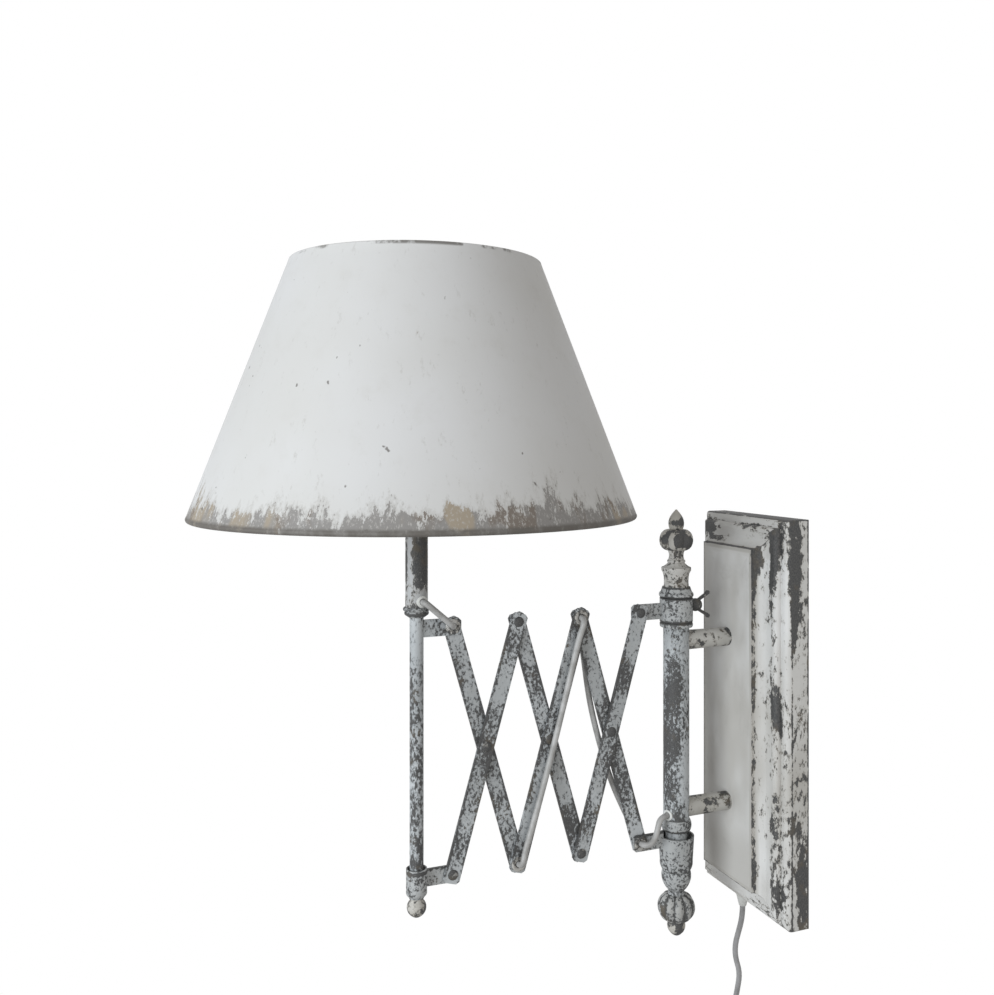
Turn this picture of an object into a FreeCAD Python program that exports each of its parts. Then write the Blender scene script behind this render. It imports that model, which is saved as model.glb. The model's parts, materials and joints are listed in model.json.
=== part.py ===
"""Accordion wall lamp: a moulded wall plate carries a turned column on two stand-offs.
A lazy-tongs of six flat bars on rivets joins the column to a lamp pole with a conical
sheet-metal shade.  Millimetres, +Z up, wall plane at Y = 0, the arm reaches towards -Y.
The origin is the centre of the wall plate's back.
"""
import FreeCAD, Part
import math
import os

Vec = FreeCAD.Vector

# ---------------------------------------------------------------- driving dimensions
# wall plate, a pressed box with a raised and moulded centre panel
plate_width = 142.0
plate_height = 380.0
plate_rim_depth = 18.5
plate_depth = 43.5
plate_sheet = 1.5
ovolo_size = 6.5
step_width = 1.5
step_rise = 1.5
bead_size = 5.0
cove_width = 14.0
panel_lip = 1.8
plate_corner_radius = 2.5
wall_hole_radius = 2.75
wall_hole_spacing = 120.0
strap_width = 32.0
strap_length = 300.0
strap_thickness = 3.0
strap_slot_gap = 0.3

# column in front of the plate
column_wall_distance = 100.0
column_radius = 12.4
column_wall = 1.4
collar_bottom = 91.0
collar_height = 23.0
collar_radius = 15.8
collar_gap = 0.3
stop_ring_height = 4.7
flange_radius = 16.5
flange_height = 10.0
cup_height = 22.9
cup_radius = 14.1
cup_foot_radius = 12.0
finial_neck_radius = 7.8
finial_neck_height = 11.6
lobed_ball_radius = 17.2
lobed_ball_height = 20.0
lobe_count = 6
lobe_depth = 2.2
bud_radius = 7.4
bud_height = 19.0
finial_stud_radius = 3.0
column_bottom = -108.0
bead_radius = 14.5
bead_height = 11.0
tube_plug_height = 11.5
guide_radius = 10.0
guide_length = 38.0
vase_radius = 14.1
vase_height = 18.5
vase_neck_radius = 8.1
vase_neck_height = 4.6
melon_radius = 17.9
melon_height = 24.6
rib_count = 10
rib_depth = 1.6
tip_radius = 8.4
tip_height = 15.2
lower_stud_radius = 5.0

# stand-offs between plate and column
standoff_radius = 9.4
standoff_plate_radius = 8.8
standoff_upper_z = 72.5
standoff_lower_z = -87.5
nipple_radius = 5.0
nipple_bore = 3.8
nipple_inside = 14.0
nut_across_flats = 14.0
nut_height = 5.0

# lazy-tongs arm
hole_spacing = 225.0
closed_pitch = 61.5
cross_count = 3
bar_width = 15.0
bar_thickness = 2.5
bar_end = 7.6
bar_clip = 2.6
layer_gap = 0.6
moving_face_gap = 0.15
tab_reach = 39.5
tab_width = 15.0
lamp_tab_reach = 32.0
upper_pivot_z = 101.5
rivet_radius = 2.5
rivet_head_radius = 4.6
rivet_head_height = 1.8
eyelet_wall = 0.6
eyelet_flange_radius = 6.8
eyelet_flange_height = 1.2
running_gap = 0.08
open_pivot_gap = 0.3

# sleeves that slide
sleeve_travel = 22.0
sleeve_top_radius = 17.0
sleeve_foot_radius = 14.4
sleeve_mouth_radius = 15.3
sleeve_rise = 2.0
lamp_sleeve_radius = 9.0
lamp_sleeve_length = 24.0
lamp_sleeve_rise = 10.2
lamp_sleeve_mouth = 1.6

# wing screw on the upper collar
wing_screw_radius = 3.0
wing_hub_radius = 5.6
wing_hub_length = 10.0
wing_screw_z = 105.5
wing_span = 25.0
wing_reach = 10.0
wing_thickness = 2.0
wing_screw_gap = 0.4

# lamp pole and stem
pole_radius = 6.0
pole_wall = 1.2
pole_bottom = -130.0
bead_ring_bottom = 111.5
bead_ring_height = 9.0
stem_radius = 9.7
stem_wall = 1.2
stem_top = 236.0
finial_ball_radius = 8.3
finial_ball_height = 17.0
stem_hole_z = 125.7
stem_hole_turn = 75.0
column_hole_z = -91.5
column_hole_turn = 20.0

# lampholder and shade
holder_radius = 19.5
holder_base_height = 22.0
holder_skirt_height = 36.0
socket_radius = 13.4
socket_depth = 27.0
ring_nut_radius = 27.0
ring_nut_height = 7.0
spider_strip_width = 12.0
spider_strip_thickness = 1.6
spider_arm_count = 3
spider_tab_height = 22.0
spider_lap = 3.0
holder_flange_rim = 3.5
holder_flange_thickness = 2.0
terminal_width = 24.0
terminal_depth = 12.0
terminal_height = 18.0
terminal_bottom = -40.0
terminal_pitch = 12.0
shade_bottom_z = 197.7
shade_bottom_radius = 190.0
shade_top_radius = 107.0
shade_height = 218.2
shade_sheet = 1.0
shade_rim_radius = 2.4
shade_top_rim_radius = 1.6

# cords
cord_diameter = 5.5
cord_hole_gap = 0.3
grommet_lip = 0.9
grommet_wall = 1.2
grommet_brim = 0.8
supply_exit_x = -20.7
supply_exit_depth = 11.5
relief_length = 14.0
relief_inside = 10.0
relief_radius = 6.8
relief_tip_radius = 3.7
coil_turns = 8
coil_middle_radius = 32.0
coil_pitch = 6.8
coil_layer_pitch = 7.0
coil_climb_turns = 0.5
coil_wall_gap = 3.8
coil_centre_z = -350.0
tail_length = 34.0
tie_width = 8.0
tie_thickness = 1.0
tie_gap = 0.5
plug_width = 35.0
plug_thickness = 14.0
plug_length = 36.0
pin_radius = 2.0
pin_length = 19.0
pin_spacing = 18.6

# ---------------------------------------------------------------- places worked out from them
cord_radius = cord_diameter / 2
column_y = -column_wall_distance
wall_pivot_y = column_y - tab_reach
lamp_pivot_y = wall_pivot_y - cross_count * closed_pitch
pole_y = lamp_pivot_y - lamp_tab_reach
rise = math.sqrt(hole_spacing ** 2 - closed_pitch ** 2)
lower_pivot_z = upper_pivot_z - rise
front_face = layer_gap / 2
front_outer = front_face + bar_thickness
collar_top = collar_bottom + collar_height
eyelet_bore = cord_radius + cord_hole_gap
eyelet_radius = eyelet_bore + eyelet_wall
bar_fold = math.degrees(math.atan2(closed_pitch, rise))
guide_bottom = column_bottom - guide_length
sleeve_bottom = guide_bottom + collar_gap
sleeve_top = lower_pivot_z + sleeve_rise
sleeve_floor = column_bottom - sleeve_travel - 2 * collar_gap


def pivot(column, upper):
    """Pivot number `column` counted from the wall, in the upper or the lower row."""
    z = upper_pivot_z if upper else lower_pivot_z
    return Vec(0, wall_pivot_y - column * closed_pitch, z)


# ---------------------------------------------------------------- general shapes
def outline(points, place):
    """Closed face from (a, b) corners; a four-number entry is an arc through its first pair."""
    edges = []
    last = points[0]
    for step in list(points[1:]) + [points[0]]:
        end = step[-2:]
        if len(step) == 4:
            edges.append(Part.Arc(place(*last[-2:]), place(*step[:2]), place(*end)).toShape())
        else:
            edges.append(Part.LineSegment(place(*last[-2:]), place(*end)).toShape())
        last = step
    return Part.Face(Part.Wire(edges))


def turned(points, y=0.0, x=0.0):
    """Body turned about the vertical line at (x, y) from (radius, height) points."""
    face = outline(points, lambda r, z: Vec(x + r, y, z))
    return face.revolve(Vec(x, y, 0), Vec(0, 0, 1), 360)


def dome(radius, start, tip):
    """Last step of a turned outline: a round cap from `radius` at `start` to the axis at `tip`."""
    height = abs(tip - start)
    side = 1 if tip > start else -1
    ball = (radius ** 2 + height ** 2) / (2 * height)
    half = math.atan2(radius, ball - height) / 2
    return (ball * math.sin(half), tip - side * ball * (1 - math.cos(half)), 0, tip)


def cylinder(radius, start, end):
    """Round bar between two points."""
    run = end - start
    return Part.makeCylinder(radius, run.Length, start, run)


def box(low, high):
    size = high - low
    return Part.makeBox(size.x, size.y, size.z, low)


def lobed_wire(radius, depth, count, z, y):
    """Ring of `count` round lobes, crests at `radius` and valleys `depth` inside it."""
    def point(turn, r):
        return Vec(r * math.sin(turn), y - r * math.cos(turn), z)

    step = 2 * math.pi / count
    edges = []
    for i in range(count):
        start = (i - 0.5) * step
        edges.append(Part.Arc(point(start, radius - depth), point(start + step / 2, radius),
                              point(start + step, radius - depth)).toShape())
    return Part.Wire(edges)


def lobed_ball(radius, height, neck, count, depth, bottom, y):
    """Cast ball with round ribs that run from neck to neck."""
    middle = bottom + height / 2
    sections = []
    for share in (-1.0, -0.75, -0.38, 0.0, 0.38, 0.75, 1.0):
        swell = math.sqrt(1 - share ** 2)
        r = neck + (radius - neck) * swell
        sections.append(lobed_wire(r, depth * swell + 0.05, count, middle + share * height / 2, y))
    return Part.makeLoft(sections, True, False)


def square_to(direction, radius, centre):
    return Part.Wire([Part.Circle(centre, direction, radius).toShape()])


def bend_radii(points):
    """Arc radius at each inner point: 0.45 of the shorter run over the tangent of half the turn."""
    radii = []
    for before, here, after in zip(points, points[1:], points[2:]):
        run_in, run_out = here - before, after - here
        half_turn = run_in.getAngle(run_out) / 2
        radii.append(0.45 * min(run_in.Length, run_out.Length) / math.tan(half_turn))
    return radii


def cord_tube(name, points):
    """Round cord of straight runs joined by tangent arcs along hand-chosen points."""
    radii = bend_radii(points)
    edges = []
    start = points[0]
    for i, radius in enumerate(radii):
        here = points[i + 1]
        back = (points[i] - here).normalize()
        onward = (points[i + 2] - here).normalize()
        half_turn = (math.pi - back.getAngle(onward)) / 2
        cut = radius * math.tan(half_turn)
        first, last = here + back * cut, here + onward * cut
        inward = (back + onward).normalize()
        middle = here + inward * (radius / math.cos(half_turn) - radius)
        edges.append(Part.LineSegment(start, first).toShape())
        edges.append(Part.Arc(first, middle, last).toShape())
        start = last
    edges.append(Part.LineSegment(start, points[-1]).toShape())
    path = Part.Wire(edges)
    tube = path.makePipeShell([square_to(points[1] - points[0], cord_radius, points[0])], True, False)
    share = tube.Volume / (math.pi * cord_radius ** 2 * path.Length)
    print(name, "length %.1f" % path.Length, "radii", [round(r, 1) for r in radii],
          "volume share %.4f" % share)
    return tube


def biarc(start, heading, end, end_heading):
    """Two arcs that leave `start` along `heading` and reach `end` along `end_heading`."""
    across = end - start
    total = heading + end_heading
    spread = 2 * (1 - heading.dot(end_heading))
    lean = across.dot(total)
    handle = (-lean + math.sqrt(lean ** 2 + spread * across.dot(across))) / spread
    corner_a = start + heading * handle
    corner_b = end - end_heading * handle
    joint = (corner_a + corner_b) * 0.5
    edges = []
    for a, corner, b in ((start, corner_a, joint), (joint, corner_b, end)):
        chord_middle = (a + b) * 0.5
        half_chord = (b - a).Length / 2
        reach = corner - chord_middle
        tangent_angle = math.atan2(reach.Length, half_chord)
        top = chord_middle + reach.normalize() * (half_chord * math.tan(tangent_angle / 2))
        edges.append(Part.Arc(a, top, b).toShape())
    return edges


# ---------------------------------------------------------------- wall plate and what is in it
def plate_form(shrink):
    """Moulded plate as two long mouldings crossed, which mitres their corners."""
    slant = math.sqrt(0.5)
    soft = 1 - slant

    def quarter(half_size):
        """From the rim inwards: ovolo, step, quarter bead, step, cove, lip; arcs carry their middle."""
        a, b = half_size - shrink, plate_rim_depth - shrink
        steps = [(a, b)]
        steps.append((a - ovolo_size * soft, b + ovolo_size * slant, a - ovolo_size, b + ovolo_size))
        a, b = a - ovolo_size - step_width, b + ovolo_size
        steps += [(a, b), (a, b + step_rise)]
        b += step_rise
        steps.append((a - bead_size * soft, b + bead_size * slant, a - bead_size, b + bead_size))
        a, b = a - bead_size - step_width, b + bead_size
        steps.append((a, b))
        rise_left = plate_depth - shrink - panel_lip - b
        steps.append((a - cove_width * slant, b + rise_left * soft, a - cove_width, b + rise_left))
        steps.append((a - cove_width, b + rise_left + panel_lip))
        return steps

    def section(half_size, place):
        right = quarter(half_size)
        left = []
        via = None
        for step in reversed(right):
            corner = (-step[-2], step[-1])
            left.append(via + corner if via else corner)
            via = (-step[0], step[1]) if len(step) == 4 else None
        edge = half_size - shrink
        start = 1.0 if shrink else 0.0
        return outline([(-edge, -start), (edge, -start)] + right + left, place)

    upright = section(plate_width / 2, lambda a, b: Vec(a, -b, -plate_height))
    lying = section(plate_height / 2, lambda a, b: Vec(-plate_width, -b, a))
    return upright.extrude(Vec(0, 0, 2 * plate_height)).common(lying.extrude(Vec(2 * plate_width, 0, 0)))


def wall_plate():
    shell = plate_form(0.0).cut(plate_form(plate_sheet))
    for z in (standoff_upper_z, standoff_lower_z):
        shell = shell.cut(cylinder(nipple_radius, Vec(0, 0, z), Vec(0, -2 * plate_depth, z)))
    hole = Vec(supply_exit_x, -supply_exit_depth, -plate_height / 2 - 1)
    return shell.cut(cylinder(relief_radius - grommet_wall, hole, hole + Vec(0, 0, 2 * plate_sheet + 2)))


def mounting_strap():
    """Flat strap screwed to the wall; its two raised bridges take the nipples."""
    depth = plate_depth - plate_sheet - nut_height - strap_thickness - strap_slot_gap
    half = strap_length / 2
    strap = box(Vec(-strap_width / 2, -strap_thickness, -half), Vec(strap_width / 2, 0, half))
    for z in (standoff_upper_z, standoff_lower_z):
        for side in (-1, 1):
            leg_z = z + side * (strap_width / 2 - strap_thickness)
            leg = box(Vec(-strap_width / 2, -depth, min(leg_z, leg_z + side * strap_thickness)),
                      Vec(strap_width / 2, 0, max(leg_z, leg_z + side * strap_thickness)))
            strap = strap.fuse(leg)
        reach = strap_width / 2
        bridge = box(Vec(-strap_width / 2, -depth - strap_thickness, z - reach),
                     Vec(strap_width / 2, -depth, z + reach))
        strap = strap.fuse(bridge)
        strap = strap.cut(cylinder(nipple_radius, Vec(0, -depth + 1, z), Vec(0, -2 * plate_depth, z)))
    for z in (-wall_hole_spacing, wall_hole_spacing):
        strap = strap.cut(cylinder(wall_hole_radius, Vec(0, 1, z), Vec(0, -strap_thickness - 1, z)))
    return strap.removeSplitter()


def bridge_front():
    return plate_depth - plate_sheet - nut_height - strap_slot_gap


def hex_nut(y_front, z):
    """Nut on a nipple, its front face at depth `y_front`."""
    corner = nut_across_flats / math.sqrt(3)
    points = [Vec(corner * math.sin(math.radians(60 * i)), -y_front, z + corner * math.cos(math.radians(60 * i)))
              for i in range(7)]
    nut = Part.Face(Part.makePolygon(points)).extrude(Vec(0, nut_height, 0))
    return nut.cut(cylinder(nipple_radius, Vec(0, 0, z), Vec(0, -2 * plate_depth, z)))


def nipple_nuts():
    front = plate_depth - plate_sheet
    return [hex_nut(front, z) for z in (standoff_upper_z, standoff_lower_z)]


def nipples():
    """Threaded hollow nipples from the strap's bridge through the plate into the stand-offs."""
    start = -bridge_front() + strap_thickness
    end = -plate_depth - nipple_inside
    tubes = []
    for z in (standoff_upper_z, standoff_lower_z):
        outer = cylinder(nipple_radius, Vec(0, start, z), Vec(0, end, z))
        tubes.append(outer.cut(cylinder(nipple_bore, Vec(0, start + 1, z), Vec(0, end - 1, z))))
    return tubes


def terminal_block():
    """Two-pole terminal block on the strap with its screw towers."""
    base = Vec(-terminal_width / 2, -strap_thickness - terminal_depth, terminal_bottom)
    block = box(base, base + Vec(terminal_width, terminal_depth, terminal_height))
    for x in (-terminal_pitch / 2, terminal_pitch / 2):
        tower = base + Vec(terminal_width / 2 + x, 0, terminal_height / 2)
        block = block.fuse(cylinder(4.2, tower, tower + Vec(0, -5, 0)))
        block = block.cut(cylinder(2.4, tower + Vec(0, 2, 0), tower + Vec(0, -6, 0)))
        block = block.cut(cylinder(2.0, tower + Vec(0, 6, -10), tower + Vec(0, 6, 10)))
    return block.removeSplitter()


def standoff(z):
    """Tapered tube saddle-cut to the column and screwed on its nipple."""
    profile = [(nipple_radius, 0), (standoff_plate_radius, 0), (standoff_radius, column_wall_distance - plate_depth),
               (nipple_radius, column_wall_distance - plate_depth)]
    face = outline(profile, lambda r, d: Vec(r, -plate_depth - d, z))
    tube = face.revolve(Vec(0, 0, z), Vec(0, 1, 0), 360)
    return tube.cut(cylinder(column_radius, Vec(0, column_y, z - 40), Vec(0, column_y, z + 40)))


# ---------------------------------------------------------------- column
def radial_hole(radius, axis_y, z, turn, toward_wall):
    """Cutter for a cord hole, turned `turn` degrees towards +X from the arm's plane."""
    side = 1 if toward_wall else -1
    angle = math.radians(turn)
    heading = Vec(math.sin(angle), side * math.cos(angle), 0)
    return cylinder(radius, Vec(0, axis_y, z), Vec(0, axis_y, z) + heading * 40), heading


def column_tube():
    top = collar_top + collar_gap + flange_height
    bore = column_radius - column_wall
    tube = turned([(bore, column_bottom), (column_radius, column_bottom), (column_radius, top), (bore, top)], column_y)
    hole, _ = radial_hole(cord_radius + cord_hole_gap + grommet_wall, column_y, column_hole_z, column_hole_turn, False)
    tube = tube.cut(hole)
    for z in (standoff_upper_z, standoff_lower_z):
        tube = tube.cut(cylinder(nipple_radius, Vec(0, column_y, z), Vec(0, 0, z)))
    return tube


def ring(inner, outer, bottom, height, y, swell=0.0):
    """Turned ring whose outer face is flat, or bulges by `swell`."""
    side = (outer + swell, bottom + height / 2, outer, bottom + height) if swell else (outer, bottom + height)
    return turned([(inner, bottom), (outer, bottom), side, (inner, bottom + height)], y)


def stop_ring():
    return ring(column_radius, collar_radius - 0.6, collar_bottom - collar_gap - stop_ring_height,
                stop_ring_height, column_y, 0.6)


def flange_ring():
    """Two stacked beads above the swivelling collar."""
    bottom = collar_top + collar_gap
    half = flange_height / 2
    r = flange_radius - 1.5
    return turned([(column_radius, bottom), (r, bottom), (r + 1.5, bottom + half / 2, r, bottom + half),
                   (r - 0.6, bottom + half + 1.6, r - 1.8, bottom + flange_height),
                   (column_radius, bottom + flange_height)], column_y)


def cup_bottom():
    return collar_top + collar_gap + flange_height


def finial_cup():
    """Turned cup with its thin neck and the small bead between them."""
    z = cup_bottom()
    waist = cup_radius - 1.6
    neck = finial_neck_radius
    rim = z + cup_height
    lip = 2.6
    top = rim + finial_neck_height
    return turned([(finial_stud_radius, z), (cup_foot_radius, z),
                   (waist - 0.7, z + 0.35 * cup_height, waist, z + 0.55 * cup_height),
                   (cup_radius, z + 0.68 * cup_height), (cup_radius, z + 0.8 * cup_height),
                   (neck + 2.2, z + 0.9 * cup_height, neck, rim), (neck + 0.9, rim + lip / 2, neck, rim + lip),
                   (neck - 0.9, rim + 0.6 * finial_neck_height, neck + 0.4, top), (finial_stud_radius, top)], column_y)


def ball_bottom():
    return cup_bottom() + cup_height + finial_neck_height


def top_ball():
    z = ball_bottom()
    ball = lobed_ball(lobed_ball_radius, lobed_ball_height, finial_neck_radius, lobe_count, lobe_depth, z, column_y)
    return ball.cut(cylinder(finial_stud_radius, Vec(0, column_y, z - 1), Vec(0, column_y, z + lobed_ball_height + 1)))


def top_bud():
    z = ball_bottom() + lobed_ball_height
    tip = z + bud_height
    return turned([(0, z + bud_height / 3), (finial_stud_radius, z + bud_height / 3), (finial_stud_radius, z),
                   (bud_radius - 1.2, z), (bud_radius, z + 0.36 * bud_height, bud_radius - 1.2, z + 0.6 * bud_height),
                   (0.5 * bud_radius, z + 0.8 * bud_height, 1.3, tip - 1), dome(1.3, tip - 1, tip)], column_y)


def finial_stud():
    """Plug in the tube's top with the long stud that strings the finial together."""
    z = cup_bottom()
    top = ball_bottom() + lobed_ball_height + bud_height / 3
    plug = column_radius - column_wall
    return turned([(0, z - 9), (plug, z - 9), (plug, z), (finial_stud_radius, z), (finial_stud_radius, top), (0, top)],
                  column_y)


def lower_bead():
    return ring(column_radius, bead_radius - 1.6, column_bottom, bead_height, column_y, 1.6)


def guide_rod():
    """Smooth neck that the lower sleeve slides on."""
    return ring(lower_stud_radius, guide_radius, guide_bottom, guide_length, column_y)


def vase():
    top = guide_bottom
    foot = top - vase_height
    neck = vase_neck_radius
    return turned([(lower_stud_radius, top), (vase_radius - 0.8, top),
                   (vase_radius, top - 0.3 * vase_height, vase_radius - 1.6, top - 0.65 * vase_height),
                   (vase_radius - 4.0, foot + 2.2, neck, foot), (neck - 0.5, foot - vase_neck_height / 2,
                   neck, foot - vase_neck_height), (lower_stud_radius, foot - vase_neck_height)], column_y)


def melon_bottom():
    return guide_bottom - vase_height - vase_neck_height - melon_height


def melon_ball():
    z = melon_bottom()
    ball = lobed_ball(melon_radius, melon_height, vase_neck_radius, rib_count, rib_depth, z, column_y)
    return ball.cut(cylinder(lower_stud_radius, Vec(0, column_y, z - 1), Vec(0, column_y, z + melon_height + 1)))


def tip_ball():
    top = melon_bottom()
    neck = tip_radius - 1.5
    middle = top - 0.5 * tip_height
    return turned([(0, top - 6), (lower_stud_radius, top - 6), (lower_stud_radius, top), (neck, top),
                   (tip_radius, middle, neck - 1.5, top - 0.82 * tip_height),
                   dome(neck - 1.5, top - 0.82 * tip_height, top - tip_height)], column_y)


def lower_stud():
    """Plug in the tube's foot with the long stud that strings the lower finial together."""
    low = melon_bottom() - 6
    z = column_bottom
    plug = column_radius - column_wall
    return turned([(0, low), (lower_stud_radius, low), (lower_stud_radius, z), (plug, z), (plug, z + tube_plug_height),
                   (0, z + tube_plug_height)], column_y)


# ---------------------------------------------------------------- swivelling collar and sliding sleeves
def tab(y_from, centre, side, hole):
    """Flat lug from `y_from` past a pivot; side 1 lies in the front layer, -1 in the back layer."""
    outward = 1 if centre.y > y_from else -1
    low_x = front_face if side > 0 else -front_outer
    end = centre.y + outward * bar_end
    lug = box(Vec(low_x, min(y_from, end), centre.z - tab_width / 2),
              Vec(low_x + bar_thickness, max(y_from, end), centre.z + tab_width / 2))
    tips = [edge for edge in lug.Edges
            if edge.BoundBox.XLength > bar_thickness / 2 and abs(edge.CenterOfMass.y - end) < 0.01]
    lug = lug.makeChamfer(bar_clip, tips)
    return lug.cut(cylinder(hole, Vec(-10, centre.y, centre.z), Vec(10, centre.y, centre.z)))


def upper_collar():
    bore = column_radius + running_gap
    r = collar_radius
    body = turned([(bore, collar_bottom), (r - 0.5, collar_bottom), (r, collar_bottom + 0.5), (r, collar_top - 0.5),
                   (r - 0.5, collar_top), (bore, collar_top)], column_y)
    lug = tab(column_y - column_radius - 1.5, pivot(0, True), -1, rivet_radius)
    body = body.fuse(lug)
    z = wing_screw_z
    body = body.cut(cylinder(wing_screw_radius + running_gap, Vec(0, column_y, z), Vec(0, 0, z)))
    return body.removeSplitter()


def wing_screw():
    """Thumb screw on the collar's wall side, with two thin wings that lean away from it."""
    z = wing_screw_z
    tip = column_y + column_radius + wing_screw_gap
    hub_start = column_y + collar_radius + wing_screw_gap
    hub_end = hub_start + wing_hub_length
    hub = outline([(0, tip), (wing_screw_radius, tip), (wing_screw_radius, hub_start), (wing_hub_radius - 1, hub_start),
                   (wing_hub_radius + 0.6, (hub_start + hub_end) / 2, wing_hub_radius - 1.4, hub_end), (0, hub_end)],
                  lambda r, y: Vec(r, y, z))
    screw = hub.revolve(Vec(0, 0, z), Vec(0, 1, 0), 360)
    for side in (-1, 1):
        root = wing_hub_radius - 2.2
        wing = outline([(root, hub_start + 3.5), (wing_span / 2 - 1.2, hub_end + wing_reach - 3.6),
                        (wing_span / 2 + 0.4, hub_end + wing_reach - 0.6, wing_span / 2 - 2.6, hub_end + wing_reach),
                        (root, hub_end - 1.4)],
                       lambda r, y: Vec(-wing_thickness / 2, y, z + side * r))
        screw = screw.fuse(wing.extrude(Vec(wing_thickness, 0, 0)))
    return screw.removeSplitter()


def lower_sleeve():
    """Bell-shaped sleeve: it slides up the guide until the column's bead fills its mouth."""
    bore = guide_radius + running_gap
    body = turned([(bore, sleeve_bottom), (sleeve_foot_radius - 1.2, sleeve_bottom),
                   (sleeve_foot_radius + 0.6, sleeve_bottom + 3.5, sleeve_foot_radius + 1.2, sleeve_bottom + 9),
                   (sleeve_top_radius, sleeve_top), (sleeve_mouth_radius, sleeve_top),
                   (sleeve_mouth_radius, sleeve_floor), (bore, sleeve_floor)], column_y)
    lug = tab(column_y - sleeve_mouth_radius, pivot(0, False), 1, eyelet_radius)
    return body.fuse(lug).removeSplitter()


def lamp_sleeve():
    bore = pole_radius + open_pivot_gap
    top = lower_pivot_z + lamp_sleeve_rise
    bottom = top - lamp_sleeve_length
    r = lamp_sleeve_radius
    body = turned([(bore, bottom), (r - 2.0, bottom), (r - 0.4, bottom + 1.6, r, bottom + 4.5), (r, top),
                   (bore + lamp_sleeve_mouth, top), (bore, top - 5)], pole_y)
    lug = tab(pole_y + pole_radius + 1.5, Vec(0, lamp_pivot_y, lower_pivot_z), -1, rivet_radius)
    lug = lug.cut(cylinder(bore, Vec(0, pole_y, top + 20), Vec(0, pole_y, bottom - 20)))
    return body.fuse(lug).removeSplitter()


# ---------------------------------------------------------------- bars, rivets and eyelets
def bar(upper, lower, side, holes):
    """Flat bar from an upper to a lower pivot; `holes` gives the three hole radii."""
    centre = (upper + lower) * 0.5
    half = hole_spacing / 2 + bar_end
    low_x = front_face if side > 0 else -front_outer
    strip = box(Vec(low_x, -bar_width / 2, -half), Vec(low_x + bar_thickness, bar_width / 2, half))
    strip = strip.makeChamfer(bar_clip, [e for e in strip.Edges if e.BoundBox.XLength > bar_thickness / 2])
    for z, radius in zip((hole_spacing / 2, 0, -hole_spacing / 2), holes):
        strip = strip.cut(cylinder(radius, Vec(-10, 0, z), Vec(10, 0, z)))
    along = upper - lower
    strip.rotate(Vec(0, 0, 0), Vec(1, 0, 0), -math.degrees(math.atan2(along.y, along.z)))
    strip.translate(centre)
    return strip


def shouldered(centre, own_side, shank, head_r, head_h, bore=0.0):
    """Rivet or eyelet across both layers, its shoulder between them, fixed in the `own_side` layer."""
    def face(side, layer):
        gap = 0.0 if side == own_side else moving_face_gap
        return front_outer + gap if layer == "out" else front_face - gap

    shoulder_r = shank + 2.0
    dome = head_h * 0.75
    far, near = face(-1, "out"), face(1, "out")
    low, high = -face(-1, "in"), face(1, "in")
    profile = [(bore, -far - head_h), (head_r - 1.4, -far - head_h), (head_r - 0.3, -far - dome, head_r, -far),
               (shank, -far), (shank, low), (shoulder_r, low), (shoulder_r, high), (shank, high), (shank, near),
               (head_r, near), (head_r - 0.3, near + dome, head_r - 1.4, near + head_h), (bore, near + head_h)]
    body = outline(profile, lambda r, x: centre + Vec(x, 0, r))
    return body.revolve(centre, Vec(1, 0, 0), 360)


def rivet(centre, own_side):
    return shouldered(centre, own_side, rivet_radius, rivet_head_radius, rivet_head_height)


def eyelet(centre, own_side):
    return shouldered(centre, own_side, eyelet_radius, eyelet_flange_radius, eyelet_flange_height, eyelet_bore)


def crossing(column):
    """Middle rivet of cross number `column`, counted from the wall."""
    return (pivot(column, True) + pivot(column + 1, False)) * 0.5


def arm():
    """Six bars and their rivets; each rivet belongs to the bar named in its node."""
    fixed, free = rivet_radius, rivet_radius + running_gap
    hollow, hollow_free = eyelet_radius, eyelet_radius + running_gap
    loose = rivet_radius + open_pivot_gap
    hollow_loose = eyelet_radius + open_pivot_gap
    front, back = 1, -1
    return {
        "bar_front_wall": bar(pivot(0, True), pivot(1, False), front, (free, fixed, fixed)),
        "bar_back_wall": bar(pivot(1, True), pivot(0, False), back, (hollow, free, hollow_free)),
        "bar_front_middle": bar(pivot(1, True), pivot(2, False), front, (hollow_free, fixed, hollow)),
        "bar_back_middle": bar(pivot(2, True), pivot(1, False), back, (fixed, free, loose)),
        "bar_front_lamp": bar(pivot(2, True), pivot(3, False), front, (free, fixed, fixed)),
        "bar_back_lamp": bar(pivot(3, True), pivot(2, False), back, (hollow_free, free, hollow_loose)),
        "rivet_collar": rivet(pivot(0, True), back),
        "rivets_front_wall": [rivet(crossing(0), front), rivet(pivot(1, False), front)],
        "eyelet_back_wall": eyelet(pivot(1, True), back),
        "eyelet_lower_sleeve": eyelet(pivot(0, False), front),
        "rivets_front_middle": [rivet(crossing(1), front), eyelet(pivot(2, False), front)],
        "rivet_back_middle": rivet(pivot(2, True), back),
        "rivets_front_lamp": [rivet(crossing(2), front), rivet(pivot(3, False), front)],
        "eyelet_pole": eyelet(pivot(3, True), front),
    }


# ---------------------------------------------------------------- lamp pole, stem and shade
def pole_tube():
    """Thin pole with the brazed lug that carries the arm's upper hollow rivet."""
    inner = pole_radius - pole_wall
    top = bead_ring_bottom + bead_ring_height
    tube = turned([(inner, pole_bottom), (pole_radius, pole_bottom), (pole_radius, top), (inner, top)], pole_y)
    lug = tab(pole_y + pole_radius - 2.0, pivot(cross_count, True), 1, eyelet_radius)
    bore = cylinder(pole_radius - pole_wall, Vec(0, pole_y, pole_bottom), Vec(0, pole_y, top))
    return tube.fuse(lug.cut(bore)).removeSplitter()


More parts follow.
